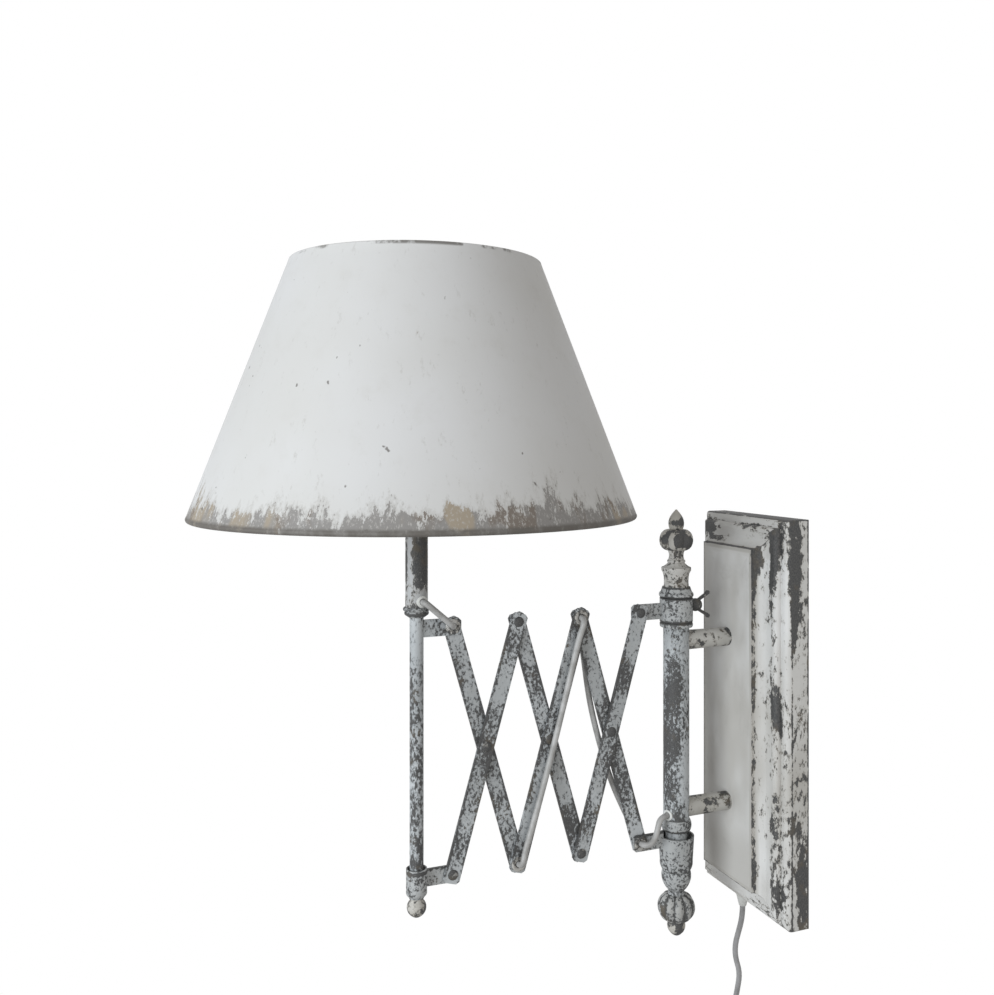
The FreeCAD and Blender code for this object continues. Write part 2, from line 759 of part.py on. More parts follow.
def stem_beads():
    z = bead_ring_bottom
    top = z + bead_ring_height
    return turned([(pole_radius, z), (pole_radius + 0.9, z), (stem_radius - 0.4, z + 1.8),
                   (stem_radius + 0.9, z + 3.6, stem_radius, z + 5.4),
                   (stem_radius + 2.0, z + 6.9, stem_radius + 0.4, top), (pole_radius, top)], pole_y)


def stem_tube():
    bottom = bead_ring_bottom + bead_ring_height
    bore = stem_radius - stem_wall
    tube = turned([(bore, bottom), (stem_radius, bottom), (stem_radius, stem_top), (bore, stem_top)], pole_y)
    hole, _ = radial_hole(cord_radius + cord_hole_gap + grommet_wall, pole_y, stem_hole_z, stem_hole_turn, True)
    return tube.cut(hole)


def grommet(radius_of_tube, wall, axis_y, z, turn, toward_wall):
    """Rubber ring in a tube's side hole, with a lip outside."""
    hole = cord_radius + cord_hole_gap
    lip, heading = radial_hole(hole + grommet_wall + grommet_brim, axis_y, z, turn, toward_wall)
    body, _ = radial_hole(hole + grommet_wall, axis_y, z, turn, toward_wall)
    bore, _ = radial_hole(hole, axis_y, z, turn, toward_wall)
    outer = cylinder(radius_of_tube + grommet_lip, Vec(0, axis_y, z - 20), Vec(0, axis_y, z + 20))
    tube = cylinder(radius_of_tube, Vec(0, axis_y, z - 20), Vec(0, axis_y, z + 20))
    inner = cylinder(radius_of_tube - wall, Vec(0, axis_y, z - 20), Vec(0, axis_y, z + 20))
    flange = lip.common(outer).cut(tube)
    plug = body.common(outer).cut(inner)
    return flange.fuse(plug).cut(bore).removeSplitter()


def ball_finial():
    """Ball on the pole's foot that stops the lamp sleeve."""
    top = pole_bottom
    neck = pole_radius + 0.5
    r = finial_ball_radius
    middle = top - finial_ball_height / 2 - 1
    return turned([(0, top), (neck, top), (neck - 0.6, top - 1.5, neck, top - 3.0),
                   (r, middle, neck - 1.5, top - finial_ball_height + 2.2),
                   dome(neck - 1.5, top - finial_ball_height + 2.2, top - finial_ball_height)], pole_y)


def lampholder_base():
    """Cap on the stem that holds the terminals."""
    z = stem_top
    r = holder_radius
    neck = stem_radius + 2
    return turned([(cord_radius + cord_hole_gap, z), (neck, z), (r - 2.0, z + 2.5, r, z + 9), (r, z + holder_base_height),
                   (cord_radius + cord_hole_gap, z + holder_base_height)], pole_y)


def lampholder_skirt():
    """Threaded outer shell with the lamp socket inside and a flange that carries the spider's eye."""
    z = stem_top + holder_base_height
    r = holder_radius - 0.8
    top = z + holder_skirt_height
    floor = top - socket_depth
    seat = spider_z()
    brim = r + holder_flange_rim
    return turned([(0, z), (r, z), (r, seat - holder_flange_thickness), (brim, seat - holder_flange_thickness),
                   (brim, seat), (r, seat), (r, top - 1.5), (r - 1.5, top), (socket_radius, top),
                   (socket_radius, floor), (0, floor)], pole_y)


def spider_z():
    return stem_top + holder_base_height + 10.0


def shade_ring_nut():
    """Ring nut that clamps the spider's eye on the lampholder."""
    z = spider_z() + spider_strip_thickness
    bore = holder_radius - 0.8
    return turned([(bore, z), (ring_nut_radius - 1, z), (ring_nut_radius, z + 1), (ring_nut_radius, z + ring_nut_height - 2),
                   (ring_nut_radius - 2, z + ring_nut_height), (bore, z + ring_nut_height)], pole_y)


def shade_radius(z):
    slope = (shade_top_radius - shade_bottom_radius) / shade_height
    return shade_bottom_radius + slope * (z - shade_bottom_z)


def shade_spider():
    """Eye on the lampholder's flange; three strips lapped below it end in tabs inside the shade."""
    z = spider_z()
    t = spider_strip_thickness
    low = z - t
    bore, rim = holder_radius - 0.8, ring_nut_radius + spider_lap
    eye = turned([(bore, z), (rim, z), (rim, z + t), (bore, z + t)], pole_y)
    slope = (shade_bottom_radius - shade_top_radius) / shade_height
    inside = shade_sheet * math.sqrt(1 + slope ** 2)

    def wall(height):
        return shade_radius(height) - inside - 0.02

    start, tab_top = ring_nut_radius - spider_lap, low + spider_tab_height
    profile = [(start, low), (wall(low), low), (wall(tab_top), tab_top), (wall(tab_top) - t, tab_top),
               (wall(z) - t, z), (start, z)]
    cone = turned([(0, low - 1), (wall(low - 1), low - 1), (wall(low + 40), low + 40), (0, low + 40)], pole_y)
    strips = []
    for i in range(spider_arm_count):
        face = outline(profile, lambda r, height: Vec(-spider_strip_width / 2, pole_y + r, height))
        strip = face.extrude(Vec(spider_strip_width, 0, 0)).common(cone)
        strip.rotate(Vec(0, pole_y, 0), Vec(0, 0, 1), i * 360 / spider_arm_count)
        strips.append(strip)
    return [eye] + strips


def shade():
    """Spun cone of sheet metal with a rolled bottom edge and a smaller rolled top edge."""
    z = shade_bottom_z + shade_rim_radius
    top = shade_bottom_z + shade_height - shade_top_rim_radius
    r_low, r_high = shade_radius(z), shade_radius(top)
    t = shade_sheet
    cone = turned([(r_low - t, z), (r_low, z), (r_high, top), (r_high - t, top)], pole_y)
    for radius, height, rim in ((r_low, z, shade_rim_radius), (r_high, top, shade_top_rim_radius)):
        hoop = Part.makeTorus(radius - rim, rim, Vec(0, pole_y, height), Vec(0, 0, 1))
        cone = cone.fuse(hoop)
    return cone.removeSplitter()


# ---------------------------------------------------------------- cords held by the arm
def bar_cord(name, start, end, side, bows):
    """Cord from one hollow rivet to the next along a bar; bows are (share, sideways) pairs."""
    run = end - start
    along = Vec(run).normalize()
    sideways = Vec(0, along.z, -along.y)
    out = Vec(side, 0, 0)
    lie = front_outer + rivet_head_height + cord_radius + 0.45

    def turn(centre, onward):
        return [centre + out * 8.0, centre + out * 11.7 + onward * 5.4, centre + out * (lie + 0.9) + onward * 15.0]

    points = [start] + turn(start, along)
    points += [start + run * share + sideways * bow + out * lie for share, bow in bows]
    points += list(reversed(turn(end, along * -1))) + [end]
    return cord_tube(name, points)


def hole_line(axis_y, z, turn, toward_wall, distance):
    """Point on a side hole's centre line at a distance from the tube's axis."""
    _, heading = radial_hole(1, axis_y, z, turn, toward_wall)
    return Vec(0, axis_y, z) + heading * distance


def at_column_hole(distance):
    return hole_line(column_y, column_hole_z, column_hole_turn, False, distance)


def at_stem_hole(distance):
    return hole_line(pole_y, stem_hole_z, stem_hole_turn, True, distance)


def loop_cord():
    """Slack loop from the lower sleeve's hollow rivet up to the column's side hole."""
    start = pivot(0, False)
    mouth = column_radius + grommet_lip + 0.35
    return cord_tube("arm_cord_loop", [
        start, start + Vec(8.5, 0, 0), start + Vec(12.6, 6.0, 2.0), start + Vec(10.4, 11.2, 6.4),
        start + Vec(8.8, 14.6, 13.4), at_column_hole(mouth + 9.8), at_column_hole(mouth)])


def stem_cord():
    """Cord from the lampholder down the stem, out of the grommet and into the arm's first hollow rivet."""
    end = pivot(cross_count, True)
    down = Vec(0, 0, -1)
    return cord_tube("stem_cord", [
        Vec(0, pole_y, stem_top + 4), Vec(0.1, pole_y, stem_top - 31), Vec(-1.6, pole_y - 0.5, stem_top - 64),
        at_stem_hole(-4.2) - down * 18, at_stem_hole(-4.6), at_stem_hole(13.4),
        at_stem_hole(13.4) + Vec(3.7, 3.9, -2.7), end + Vec(12.8, -13, 8.5), end + Vec(10.8, 0, 0), end])


def inner_lead():
    """Supply cord behind the plate, past the strap's lower bridge to its relief."""
    x, y = supply_exit_x, -supply_exit_depth
    top = -plate_height / 2 + plate_sheet + relief_inside
    block_y = -strap_thickness - terminal_depth / 2
    return cord_tube("inner_lead", [
        Vec(-terminal_pitch / 2, block_y, terminal_bottom), Vec(-terminal_pitch / 2, block_y, terminal_bottom - 10),
        Vec(-14, -9.5, -59), Vec(-22, -10, -70), Vec(-22.6, -11, -92),
        Vec(-21.2, -11.3, -128), Vec(x, y, -158), Vec(x, y, top)])


def column_cord():
    """Cord inside the column and the lower stand-off, as far as the terminal block."""
    z = standoff_lower_z
    return cord_tube("column_cord", [
        at_column_hole(column_radius + grommet_lip), at_column_hole(3.0), Vec(0, column_y + 20, z - 0.4),
        Vec(0.05, column_y + 50, z), Vec(0, -28, z + 0.1), Vec(12, -18, z + 1.5), Vec(22, -12, z + 11.5),
        Vec(22, -10, z + 24.5), Vec(12, -9, z + 33.5), Vec(terminal_pitch / 2, -9, z + 41.5),
        Vec(terminal_pitch / 2, -strap_thickness - terminal_depth / 2, terminal_bottom)])


# ---------------------------------------------------------------- supply cord
def strain_relief():
    """White rubber relief in the plate's underside, tapered inside and outside."""
    plate = -plate_height / 2
    inside = plate + plate_sheet
    inner = relief_radius - grommet_wall
    return turned([(cord_radius, inside + relief_inside), (relief_tip_radius + 0.6, inside + relief_inside),
                   (inner + 0.5, inside + 2.5), (inner + 0.5, inside), (inner, inside), (inner, plate),
                   (relief_radius, plate), (relief_radius + 0.4, plate - 1.5, relief_radius - 0.4, plate - 3),
                   (relief_tip_radius, plate - relief_length), (cord_radius, plate - relief_length)],
                  -supply_exit_depth, supply_exit_x)


def steady_turns():
    """Turns of one layer, between the cord's end and the climb to the other layer."""
    return (coil_turns - coil_climb_turns) / 2


def coil_outer():
    return coil_middle_radius + steady_turns() * coil_pitch / 2


def coil_inner():
    return coil_middle_radius - steady_turns() * coil_pitch / 2


def layer_y(level):
    return -coil_wall_gap - cord_radius - level * coil_layer_pitch


def supply_lead():
    """Free cord from the strain relief to the coil, as the photograph shows it."""
    y, z = -supply_exit_depth, -plate_height / 2 - relief_length
    x = supply_exit_x
    left = -coil_outer()
    return cord_tube("supply_cord_lead", [
        Vec(x, y, z), Vec(x - 0.5, y, z - 11), Vec(x - 4.3, y - 0.8, z - 25), Vec(x - 10.4, y - 2.0, z - 43),
        Vec(x - 12.8, y - 0.5, z - 58), Vec(x - 9.8, y + 3.2, z - 73), Vec(left + 7.5, layer_y(0), z - 93),
        Vec(left, layer_y(0), z - 116),
        Vec(left, layer_y(0), coil_centre_z + cord_diameter)])


def coil_point(turns):
    """Centre line of the coil after `turns` turns: in on the wall layer, out again on the front one."""
    to_end = coil_turns - turns
    if turns <= steady_turns():
        r, level = coil_outer() - turns * coil_pitch, 0.0
    elif to_end <= steady_turns():
        r, level = coil_outer() - to_end * coil_pitch, 1.0
    else:
        share = (turns - steady_turns()) / coil_climb_turns
        r, level = coil_inner(), share * share * (3 - 2 * share)
    angle = math.pi + turns * 2 * math.pi
    return Vec(r * math.cos(angle), layer_y(level), coil_centre_z + r * math.sin(angle))


def supply_coil():
    """Round coil of the unseen length in two layers, with a straight end down to the plug."""
    quarter = 0.25
    count = int(round(coil_turns / quarter))
    stations = [i * quarter for i in range(count + 1)]
    nudge = 1e-4
    points = [coil_point(t) for t in stations]
    headings = [(coil_point(t + nudge) - coil_point(t - nudge)).normalize() for t in stations[1:-1]]
    down = Vec(0, 0, -1)
    headings = [down] + headings + [down]
    start = points[0] - down * cord_diameter
    edges = [Part.LineSegment(start, points[0]).toShape()]
    for i in range(count):
        edges += biarc(points[i], headings[i], points[i + 1], headings[i + 1])
    edges.append(Part.LineSegment(points[-1], points[-1] + down * tail_length).toShape())
    path = Part.Wire(edges)
    tube = path.makePipeShell([square_to(down, cord_radius, start)], True, False)
    print("supply_cord_coil length %.1f" % path.Length, "least gap %.2f" % coil_gap(),
          "volume share %.4f" % (tube.Volume / (math.pi * cord_radius ** 2 * path.Length)))
    return tube


def coil_gap():
    """Least gap of the coil to itself, between points more than a quarter turn apart."""
    steps = 48
    points = [coil_point(i / steps) for i in range(coil_turns * steps + 1)]
    least = 1e9
    for i, here in enumerate(points):
        for other in points[i + steps // 4::2]:
            least = min(least, here.distanceToPoint(other))
    return least - cord_diameter


def cord_tie():
    """Flat band round all turns at the coil's top."""
    low_z = coil_centre_z + coil_inner() - cord_radius - tie_gap
    high_z = coil_centre_z + coil_outer() + cord_radius + tie_gap
    back, front = layer_y(0) + cord_radius + tie_gap, layer_y(1) - cord_radius - tie_gap
    half = tie_width / 2
    t = tie_thickness
    outer = box(Vec(-half, front - t, low_z - t), Vec(half, back + t, high_z + t))
    return outer.cut(box(Vec(-half - 1, front, low_z), Vec(half + 1, back, high_z)))


def plug_top():
    return coil_point(coil_turns) - Vec(0, 0, tail_length)


def plug_body():
    """Flat two-pin plug, hung by the cord, with a waisted grip."""
    top = plug_top()

    def oval(half_width, half_depth, drop):
        z = top.z - drop
        flat = half_width - half_depth
        a, b = Vec(top.x - flat, top.y - half_depth, z), Vec(top.x + flat, top.y - half_depth, z)
        c, d = Vec(top.x + flat, top.y + half_depth, z), Vec(top.x - flat, top.y + half_depth, z)
        right, left = Vec(top.x + half_width, top.y, z), Vec(top.x - half_width, top.y, z)
        return Part.Wire([Part.LineSegment(a, b).toShape(), Part.Arc(b, right, c).toShape(),
                          Part.LineSegment(c, d).toShape(), Part.Arc(d, left, a).toShape()])

    w, t = plug_width / 2, plug_thickness / 2
    shoulder = 0.38 * plug_length
    neck = Part.makeLoft([oval(4.6, 4.2, 0), oval(0.36 * w + 1, 0.8 * t, 0.2 * plug_length), oval(0.8 * w, t - 1, shoulder)],
                         True, False)
    head = Part.makeLoft([oval(0.8 * w, t - 1, shoulder), oval(w, t, 0.62 * plug_length), oval(w, t, plug_length)],
                         True, True)
    return neck.fuse(head).removeSplitter()


def plug_pins():
    top = plug_top()
    pins = []
    for side in (-1, 1):
        root = Vec(top.x + side * pin_spacing / 2, top.y, top.z - plug_length)
        tip = Part.makeSphere(pin_radius, root - Vec(0, 0, pin_length - pin_radius))
        pins.append(cylinder(pin_radius, root, root - Vec(0, 0, pin_length - pin_radius)).fuse(tip).removeSplitter())
    return pins


# ---------------------------------------------------------------- the whole lamp
def lamp_parts():
    parts = {
        "wall_plate": wall_plate(),
        "mounting_strap": mounting_strap(),
        "nipples": nipples(),
        "nipple_nuts": nipple_nuts(),
        "terminal_block": terminal_block(),
        "standoffs": [standoff(standoff_upper_z), standoff(standoff_lower_z)],
        "column_tube": column_tube(),
        "stop_ring": stop_ring(),
        "flange_ring": flange_ring(),
        "finial_cup": finial_cup(),
        "top_ball": top_ball(),
        "top_bud": top_bud(),
        "finial_stud": finial_stud(),
        "lower_bead": lower_bead(),
        "guide_rod": guide_rod(),
        "vase": vase(),
        "melon_ball": melon_ball(),
        "tip_ball": tip_ball(),
        "lower_stud": lower_stud(),
        "column_grommet": grommet(column_radius, column_wall, column_y, column_hole_z, column_hole_turn, False),
        "upper_collar": upper_collar(),
        "wing_screw": wing_screw(),
        "lower_sleeve": lower_sleeve(),
        "lamp_sleeve": lamp_sleeve(),
        "pole_tube": pole_tube(),
        "stem_beads": stem_beads(),
        "stem_tube": stem_tube(),
        "stem_grommet": grommet(stem_radius, stem_wall, pole_y, stem_hole_z, stem_hole_turn, True),
        "ball_finial": ball_finial(),
        "lampholder_base": lampholder_base(),
        "lampholder_skirt": lampholder_skirt(),
        "shade_ring_nut": shade_ring_nut(),
        "shade_spider": shade_spider(),
        "shade": shade(),
        "stem_cord": stem_cord(),
        "cord_back_lamp": bar_cord("cord_back_lamp", pivot(3, True), pivot(2, False), -1, [(0.3, 0.3), (0.7, 0.8)]),
        "cord_front_middle": bar_cord("cord_front_middle", pivot(2, False), pivot(1, True), 1,
                                      [(0.2, 2.8), (0.45, 4.2), (0.68, 2.6), (0.84, 1.0)]),
        "cord_back_wall": bar_cord("cord_back_wall", pivot(1, True), pivot(0, False), -1,
                                   [(0.18, 4.0), (0.36, 9.6), (0.54, 10.6), (0.72, 6.0), (0.86, 1.5)]),
        "arm_cord_loop": loop_cord(),
        "inner_cords": [column_cord(), inner_lead()],
        "strain_relief": strain_relief(),
        "supply_cord_lead": supply_lead(),
        "supply_cord_coil": supply_coil(),
        "cord_tie": cord_tie(),
        "plug_body": plug_body(),
        "plug_pins": plug_pins(),
    }
    parts.update(arm())
    return parts


def export_all():
    os.makedirs("parts", exist_ok=True)
    parts = lamp_parts()
    for name, shape in parts.items():
        if isinstance(shape, list):
            shape = Part.makeCompound(shape)
        if not shape.isValid():
            print("INVALID", name)
        if len(shape.Solids) == 0:
            print("NO SOLID", name)
        shape.exportStep("parts/%s.step" % name)
    print(len(parts), "nodes; lower pivots at %.2f; bars lean %.2f degrees" % (lower_pivot_z, bar_fold))


export_all()
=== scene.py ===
# %% [markdown]
# # An accordion wall lamp in worn paint
# A lazy-tongs of flat steel bars carries a lamp pole in front of a turned column.  The first
# cell imports the construction model as the frame: every piece made here sits on it, in metres.
# Later cells add the finishes first, then the pieces, then the light.

# %% The frame
import bpy
import bmesh
import json
import math
from mathutils import Matrix, Vector

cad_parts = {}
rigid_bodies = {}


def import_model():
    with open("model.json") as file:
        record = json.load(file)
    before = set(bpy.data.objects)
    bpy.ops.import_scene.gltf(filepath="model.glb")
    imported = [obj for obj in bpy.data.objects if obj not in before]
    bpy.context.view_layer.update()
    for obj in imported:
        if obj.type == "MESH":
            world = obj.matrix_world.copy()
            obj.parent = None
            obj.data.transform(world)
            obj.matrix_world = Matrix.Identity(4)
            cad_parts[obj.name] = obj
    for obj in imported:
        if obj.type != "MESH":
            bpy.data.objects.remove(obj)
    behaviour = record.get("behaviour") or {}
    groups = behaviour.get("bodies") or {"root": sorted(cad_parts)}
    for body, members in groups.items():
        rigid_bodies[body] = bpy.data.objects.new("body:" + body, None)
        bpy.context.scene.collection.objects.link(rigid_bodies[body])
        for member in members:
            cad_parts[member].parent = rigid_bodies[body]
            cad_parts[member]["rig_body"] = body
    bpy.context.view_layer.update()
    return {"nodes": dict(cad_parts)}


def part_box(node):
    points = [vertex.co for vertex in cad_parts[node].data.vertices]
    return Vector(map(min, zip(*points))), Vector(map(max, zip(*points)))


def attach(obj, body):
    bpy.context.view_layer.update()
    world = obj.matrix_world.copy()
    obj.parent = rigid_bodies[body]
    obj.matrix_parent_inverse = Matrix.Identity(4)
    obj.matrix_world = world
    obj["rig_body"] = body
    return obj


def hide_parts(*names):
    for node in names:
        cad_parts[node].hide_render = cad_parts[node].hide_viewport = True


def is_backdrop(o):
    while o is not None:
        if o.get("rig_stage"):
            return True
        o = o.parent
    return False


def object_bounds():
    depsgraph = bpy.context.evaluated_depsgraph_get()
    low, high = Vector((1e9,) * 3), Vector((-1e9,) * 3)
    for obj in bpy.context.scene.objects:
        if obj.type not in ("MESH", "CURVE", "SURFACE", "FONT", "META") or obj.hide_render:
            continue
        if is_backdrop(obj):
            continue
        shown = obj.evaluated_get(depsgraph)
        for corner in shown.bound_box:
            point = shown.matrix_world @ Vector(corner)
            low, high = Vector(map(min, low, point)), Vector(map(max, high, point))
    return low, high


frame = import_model()
MM = 0.001
column_y = -100 * MM

# %% [markdown]
# ## The camera
# The photograph is taken from the lamp's side, a little above the arm.  All upright edges in it
# are parallel.  A camera that tilts down would make them lean, so this one looks level and its
# frame is shifted down instead, as a view camera does.


# %% The camera
def in_scene(name, data):
    """A new object of the scene that holds this data."""
    item = bpy.data.objects.new(name, data)
    bpy.context.scene.collection.objects.link(item)
    return item


lens_data = bpy.data.cameras.new("view_camera")
lens_data.sensor_fit = "HORIZONTAL"
lens_data.sensor_width = 36.0
lens_data.lens = 37.35
lens_data.shift_x = -0.0401
lens_data.shift_y = -0.0573
view_camera = in_scene("view_camera", lens_data)
view_camera.location = (0.8616, -0.5973, 0.2636)
view_camera.rotation_euler = (math.radians(90), 0, math.radians(67.703))
bpy.context.scene.camera = view_camera
print("camera at", tuple(view_camera.location))

# %% [markdown]
# ## Shader sums as Python expressions
# A material is a small graph of nodes, and long sums are hard to read as nodes.  The class below
# wraps one output socket and overloads plus, minus, times and divided by, so that each sum on it
# adds a Math node.  Plain numbers stay in Python.


# %% Sums on sockets
class Wire:
    """One output socket of a node tree, with the arithmetic that finishes and shapes use."""

    def __init__(self, graph, socket):
        self.graph = graph
        self.socket = socket

    def sum(self, operation, *values):
        return self.graph.add("ShaderNodeMath", {"operation": operation}, dict(enumerate(values)))

    def __add__(self, other):
        return self.sum("ADD", self, other)

    __radd__ = __add__

    def __mul__(self, other):
        return self.sum("MULTIPLY", self, other)

    __rmul__ = __mul__

    def __sub__(self, other):
        return self.sum("SUBTRACT", self, other)

    def __rsub__(self, other):
        return self.sum("SUBTRACT", other, self)

    def __truediv__(self, other):
        return self.sum("DIVIDE", self, other)

    def high(self, other):
        return self.sum("MAXIMUM", self, other)

    def low(self, other):
        return self.sum("MINIMUM", self, other)

    def size(self):
        return self.sum("ABSOLUTE", self)

    def near(self, centre, width):
        """1 on a line where the value is `centre`, 0 from `width` away; full on its middle quarter."""
        return (self - centre).size().step(width, width * 0.25)

    def step(self, start, end):
        """0 below `start`, 1 above `end`, smooth between them."""
        settings = {"interpolation_type": "SMOOTHSTEP"}
        low, high, from_value, to_value = (start, end, 0.0, 1.0) if start < end else (end, start, 1.0, 0.0)
        values = {"Value": self, "From Min": low, "From Max": high, "To Min": from_value, "To Max": to_value}
        return self.graph.add("ShaderNodeMapRange", settings, values)


print("sums ready")

# %% [markdown]
# ## Any other node in one call
# Nodes that aren't sums differ in type, settings and inputs.  One method takes all three: the
# settings first, because they decide which inputs a node has, and then values or links.


# %% A node tree in the making
class Graph:
    """A node tree in the making."""

    def __init__(self, tree):
        self.tree = tree

    def add(self, kind, settings, values, output=0):
        """A node of this kind: its settings first, then the values or links of its sockets."""
        node = self.tree.nodes.new(kind)
        for key, value in settings.items():
            setattr(node, key, value)
        for key, value in values.items():
            self.put(node.inputs[key], value)
        return Wire(self, node.outputs[output])

    def put(self, socket, value):
        if isinstance(value, Wire):
            self.tree.links.new(value.socket, socket)
        elif hasattr(value, "__len__") and len(value) == 3 and socket.type == "RGBA":
            socket.default_value = (*value, 1.0)
        else:
            socket.default_value = value

    def axes(self, vector):
        """The three numbers of a vector."""
        node = self.tree.nodes.new("ShaderNodeSeparateXYZ")
        self.tree.links.new(vector.socket, node.inputs[0])
        return [Wire(self, out) for out in node.outputs]

    def end(self, kind, wire):
        """The last node of the tree, fed by this wire."""
        self.tree.links.new(wire.socket, self.tree.nodes.new(kind).inputs[0])


print("node trees ready")

# %% [markdown]
# ## A material in the making
# Every finish of the lamp starts from one Principled shader and the same few helpers: cloudy
# noise, a stretched place for streaks, a mix of two colours and a bump.  Object coordinates hold
# the pattern to the piece when the arm moves.


# %% A finish in the making
class Finish(Graph):
    """A material in the making, with one Principled shader."""

    def __init__(self, name):
        self.material = bpy.data.materials.new(name)
        self.material.use_nodes = True
        super().__init__(self.material.node_tree)
        self.shader = self.tree.nodes["Principled BSDF"]
        coordinate = self.tree.nodes.new("ShaderNodeTexCoord")
        self.place = Wire(self, coordinate.outputs["Object"])
        self.uv = Wire(self, coordinate.outputs["UV"])

    def grain(self, scale, detail=3.0, rough=0.55, place=None):
        """Cloudy noise from 0 to 1; `scale` is in features per metre."""
        values = {"Vector": place or self.place, "Scale": scale, "Detail": detail, "Roughness": rough}
        return self.add("ShaderNodeTexNoise", {"noise_dimensions": "3D"}, values)

    def stretched(self, factors, shift=(0, 0, 0)):
        """The place with each axis scaled, for streaks, and moved for another pattern."""
        return self.add("ShaderNodeMapping", {}, {"Vector": self.place, "Scale": factors, "Location": shift})

    def tint(self, factor, first, second):
        """Colour mix: `first` at 0, `second` at 1."""
        values = {"Factor": factor, 6: first, 7: second}
        return self.add("ShaderNodeMix", {"data_type": "RGBA"}, values, output=2)

    def inside(self, centre, sizes, edge, core):
        """1 in the core of an ellipsoid, 0 outside its edge; its centre and half sizes are in millimetres."""
        middle, weights = [v * MM for v in centre], [1.0 / (v * MM) for v in sizes]
        moved = self.add("ShaderNodeVectorMath", {"operation": "SUBTRACT"}, {0: self.place, 1: middle})
        scaled = self.add("ShaderNodeVectorMath", {"operation": "MULTIPLY"}, {0: moved, 1: weights})
        length = self.add("ShaderNodeVectorMath", {"operation": "LENGTH"}, {0: scaled}, output="Value")
        return length.step(edge, core)

    def bump(self, height, strength, distance):
        return self.add("ShaderNodeBump", {}, {"Strength": strength, "Distance": distance, "Height": height})

    def surface(self, **values):
        """Values or wires for the shader's inputs; gives back the finished material."""
        for key, value in values.items():
            self.put(self.shader.inputs[key.replace("_", " ")], value)
        return self.material


print("finishes ready")

# %% [markdown]
# ## Worn paint over dark steel
# The lamp was painted an off-white that has chipped and rubbed off in flakes, and shows dark
# steel below.  An image of scratches would repeat and blur, so noise decides where the paint has
# gone: the large noise gathers the chips in areas, the fine one gives each chip its ragged edge.
# `patches` adds the places where the photograph shows a whole flake missing, and the paint's
# thickness goes into a bump.

# %% Worn paint
steel_dark = (0.034, 0.035, 0.037)
steel_light = (0.085, 0.084, 0.081)
rust_brown = (0.105, 0.085, 0.058)
soot_grey = (0.30, 0.29, 0.27)
rubbed_cool = (0.20, 0.215, 0.225)
rubbed_warm = (0.25, 0.235, 0.205)
fine_share, chip_edge = 0.14, 0.014
flake_edge, flake_core = 1.45, 0.35
# the noise value from which paint chips where none is bare, and its fall to where all is bare
sound_limit, limit_fall = 0.62, 0.24
paint_bump = 0.22 * MM


def worn_paint(name, bare, areas, flake, stretch, seed, light, shade_tone, rubbed=rubbed_warm, rubbing=0.045,
               gathers=0.5, patches=(), place_rule=None, grain_rule=None):
    """Paint with chips.

    `bare` is the share of steel, `areas` and `flake` are features per metre of the two noises, and
    `gathers` is the weight of the large one.  `rubbing` is the width of the thin paint round a chip.
    `patches` are (centre, half sizes, strength) in millimetres.
    """
    f = Finish(name)
    shift = (seed, seed * 0.7, seed * 1.3)
    place = f.stretched(stretch, shift)
    if grain_rule:
        place = grain_rule(f, place, shift)
    big = f.grain(areas, 2.0, 0.5, place)
    flakes = f.grain(flake, 5.0, 0.66, place)
    fine = f.grain(flake * 4.5, 3.0, 0.6, place)
    wear = big * gathers + flakes * (1.0 - fine_share - gathers) + fine * fine_share
    for centre, sizes, strength in patches:
        wear = wear + f.inside(centre, sizes, flake_edge, flake_core) * strength
    tone = f.grain(11.0, 3.0, 0.6, f.stretched(stretch, (3.1 + seed, 1.7, 0.4))).step(0.35, 0.68)
    # a place rule adds wear, and its second mask darkens the tone; on the plate, the collars and the melon
    # ball's grooves that mask is painted shade
    if place_rule:
        more, shadow = place_rule(f)
        wear = wear + more
        tone = tone.high(shadow)
    limit = sound_limit - limit_fall * bare
    chipped = wear.step(limit - chip_edge, limit + chip_edge)
    thin = wear.step(limit - rubbing, limit) * 0.75
    soot = f.grain(60.0, 4.0, 0.7, place).step(0.50, 0.80) * 0.35
    paint = f.tint(soot, f.tint(tone, light, shade_tone), soot_grey)
    paint = f.tint(thin, paint, rubbed)
    rust = f.grain(45.0, 3.0, 0.6, f.stretched((1, 1, 1), (seed, 4.4, 2.2))).step(0.55, 0.72) * 0.6
    steel = f.tint(rust, f.tint(fine.step(0.35, 0.7), steel_dark, steel_light), rust_brown)
    relief = (1.0 - chipped) * 0.75 + flakes * 0.20 + fine * 0.05
    return f.surface(Base_Color=f.tint(chipped, paint, steel), Roughness=0.55 + 0.10 * fine + 0.05 * chipped,
                     Metallic=chipped * 0.12, Normal=f.bump(relief, 0.5, paint_bump))


print("steel and paint tones ready")

# %% [markdown]
# ## The wall plate's paint
# The pressed plate has lost its paint where hands and brushes reach: on the moulding's edges, at
# the mitred corners and on the outer side.  The rule measures each point's distance from the rim,
# so one formula follows all four sides.  The second function turns the flakes, so that they run
# along each side of the moulding.

# %% The wall plate's paint
plate_half_width, plate_half_height = 71 * MM, 190 * MM
panel_edge, arris = 29.0 * MM, 28.5 * MM
crown_start, crown_full = 150 * MM, 156 * MM
hollow_start, hollow_end = 6 * MM, 20 * MM
# lines of wear along the moulding: (distance from the rim, half width) in mm, strength
moulding_lines = [((13.6, 0.9), 0.03), ((7.2, 0.6), 0.03)]
# the same on the outer side, by the depth from the wall; the chips at 18.4 mm also stand in as painted shade
# for the sharp edge where the side meets the moulding
side_lines = [((18.4, 1.4), 0.085), ((0.6, 1.6), 0.12)]


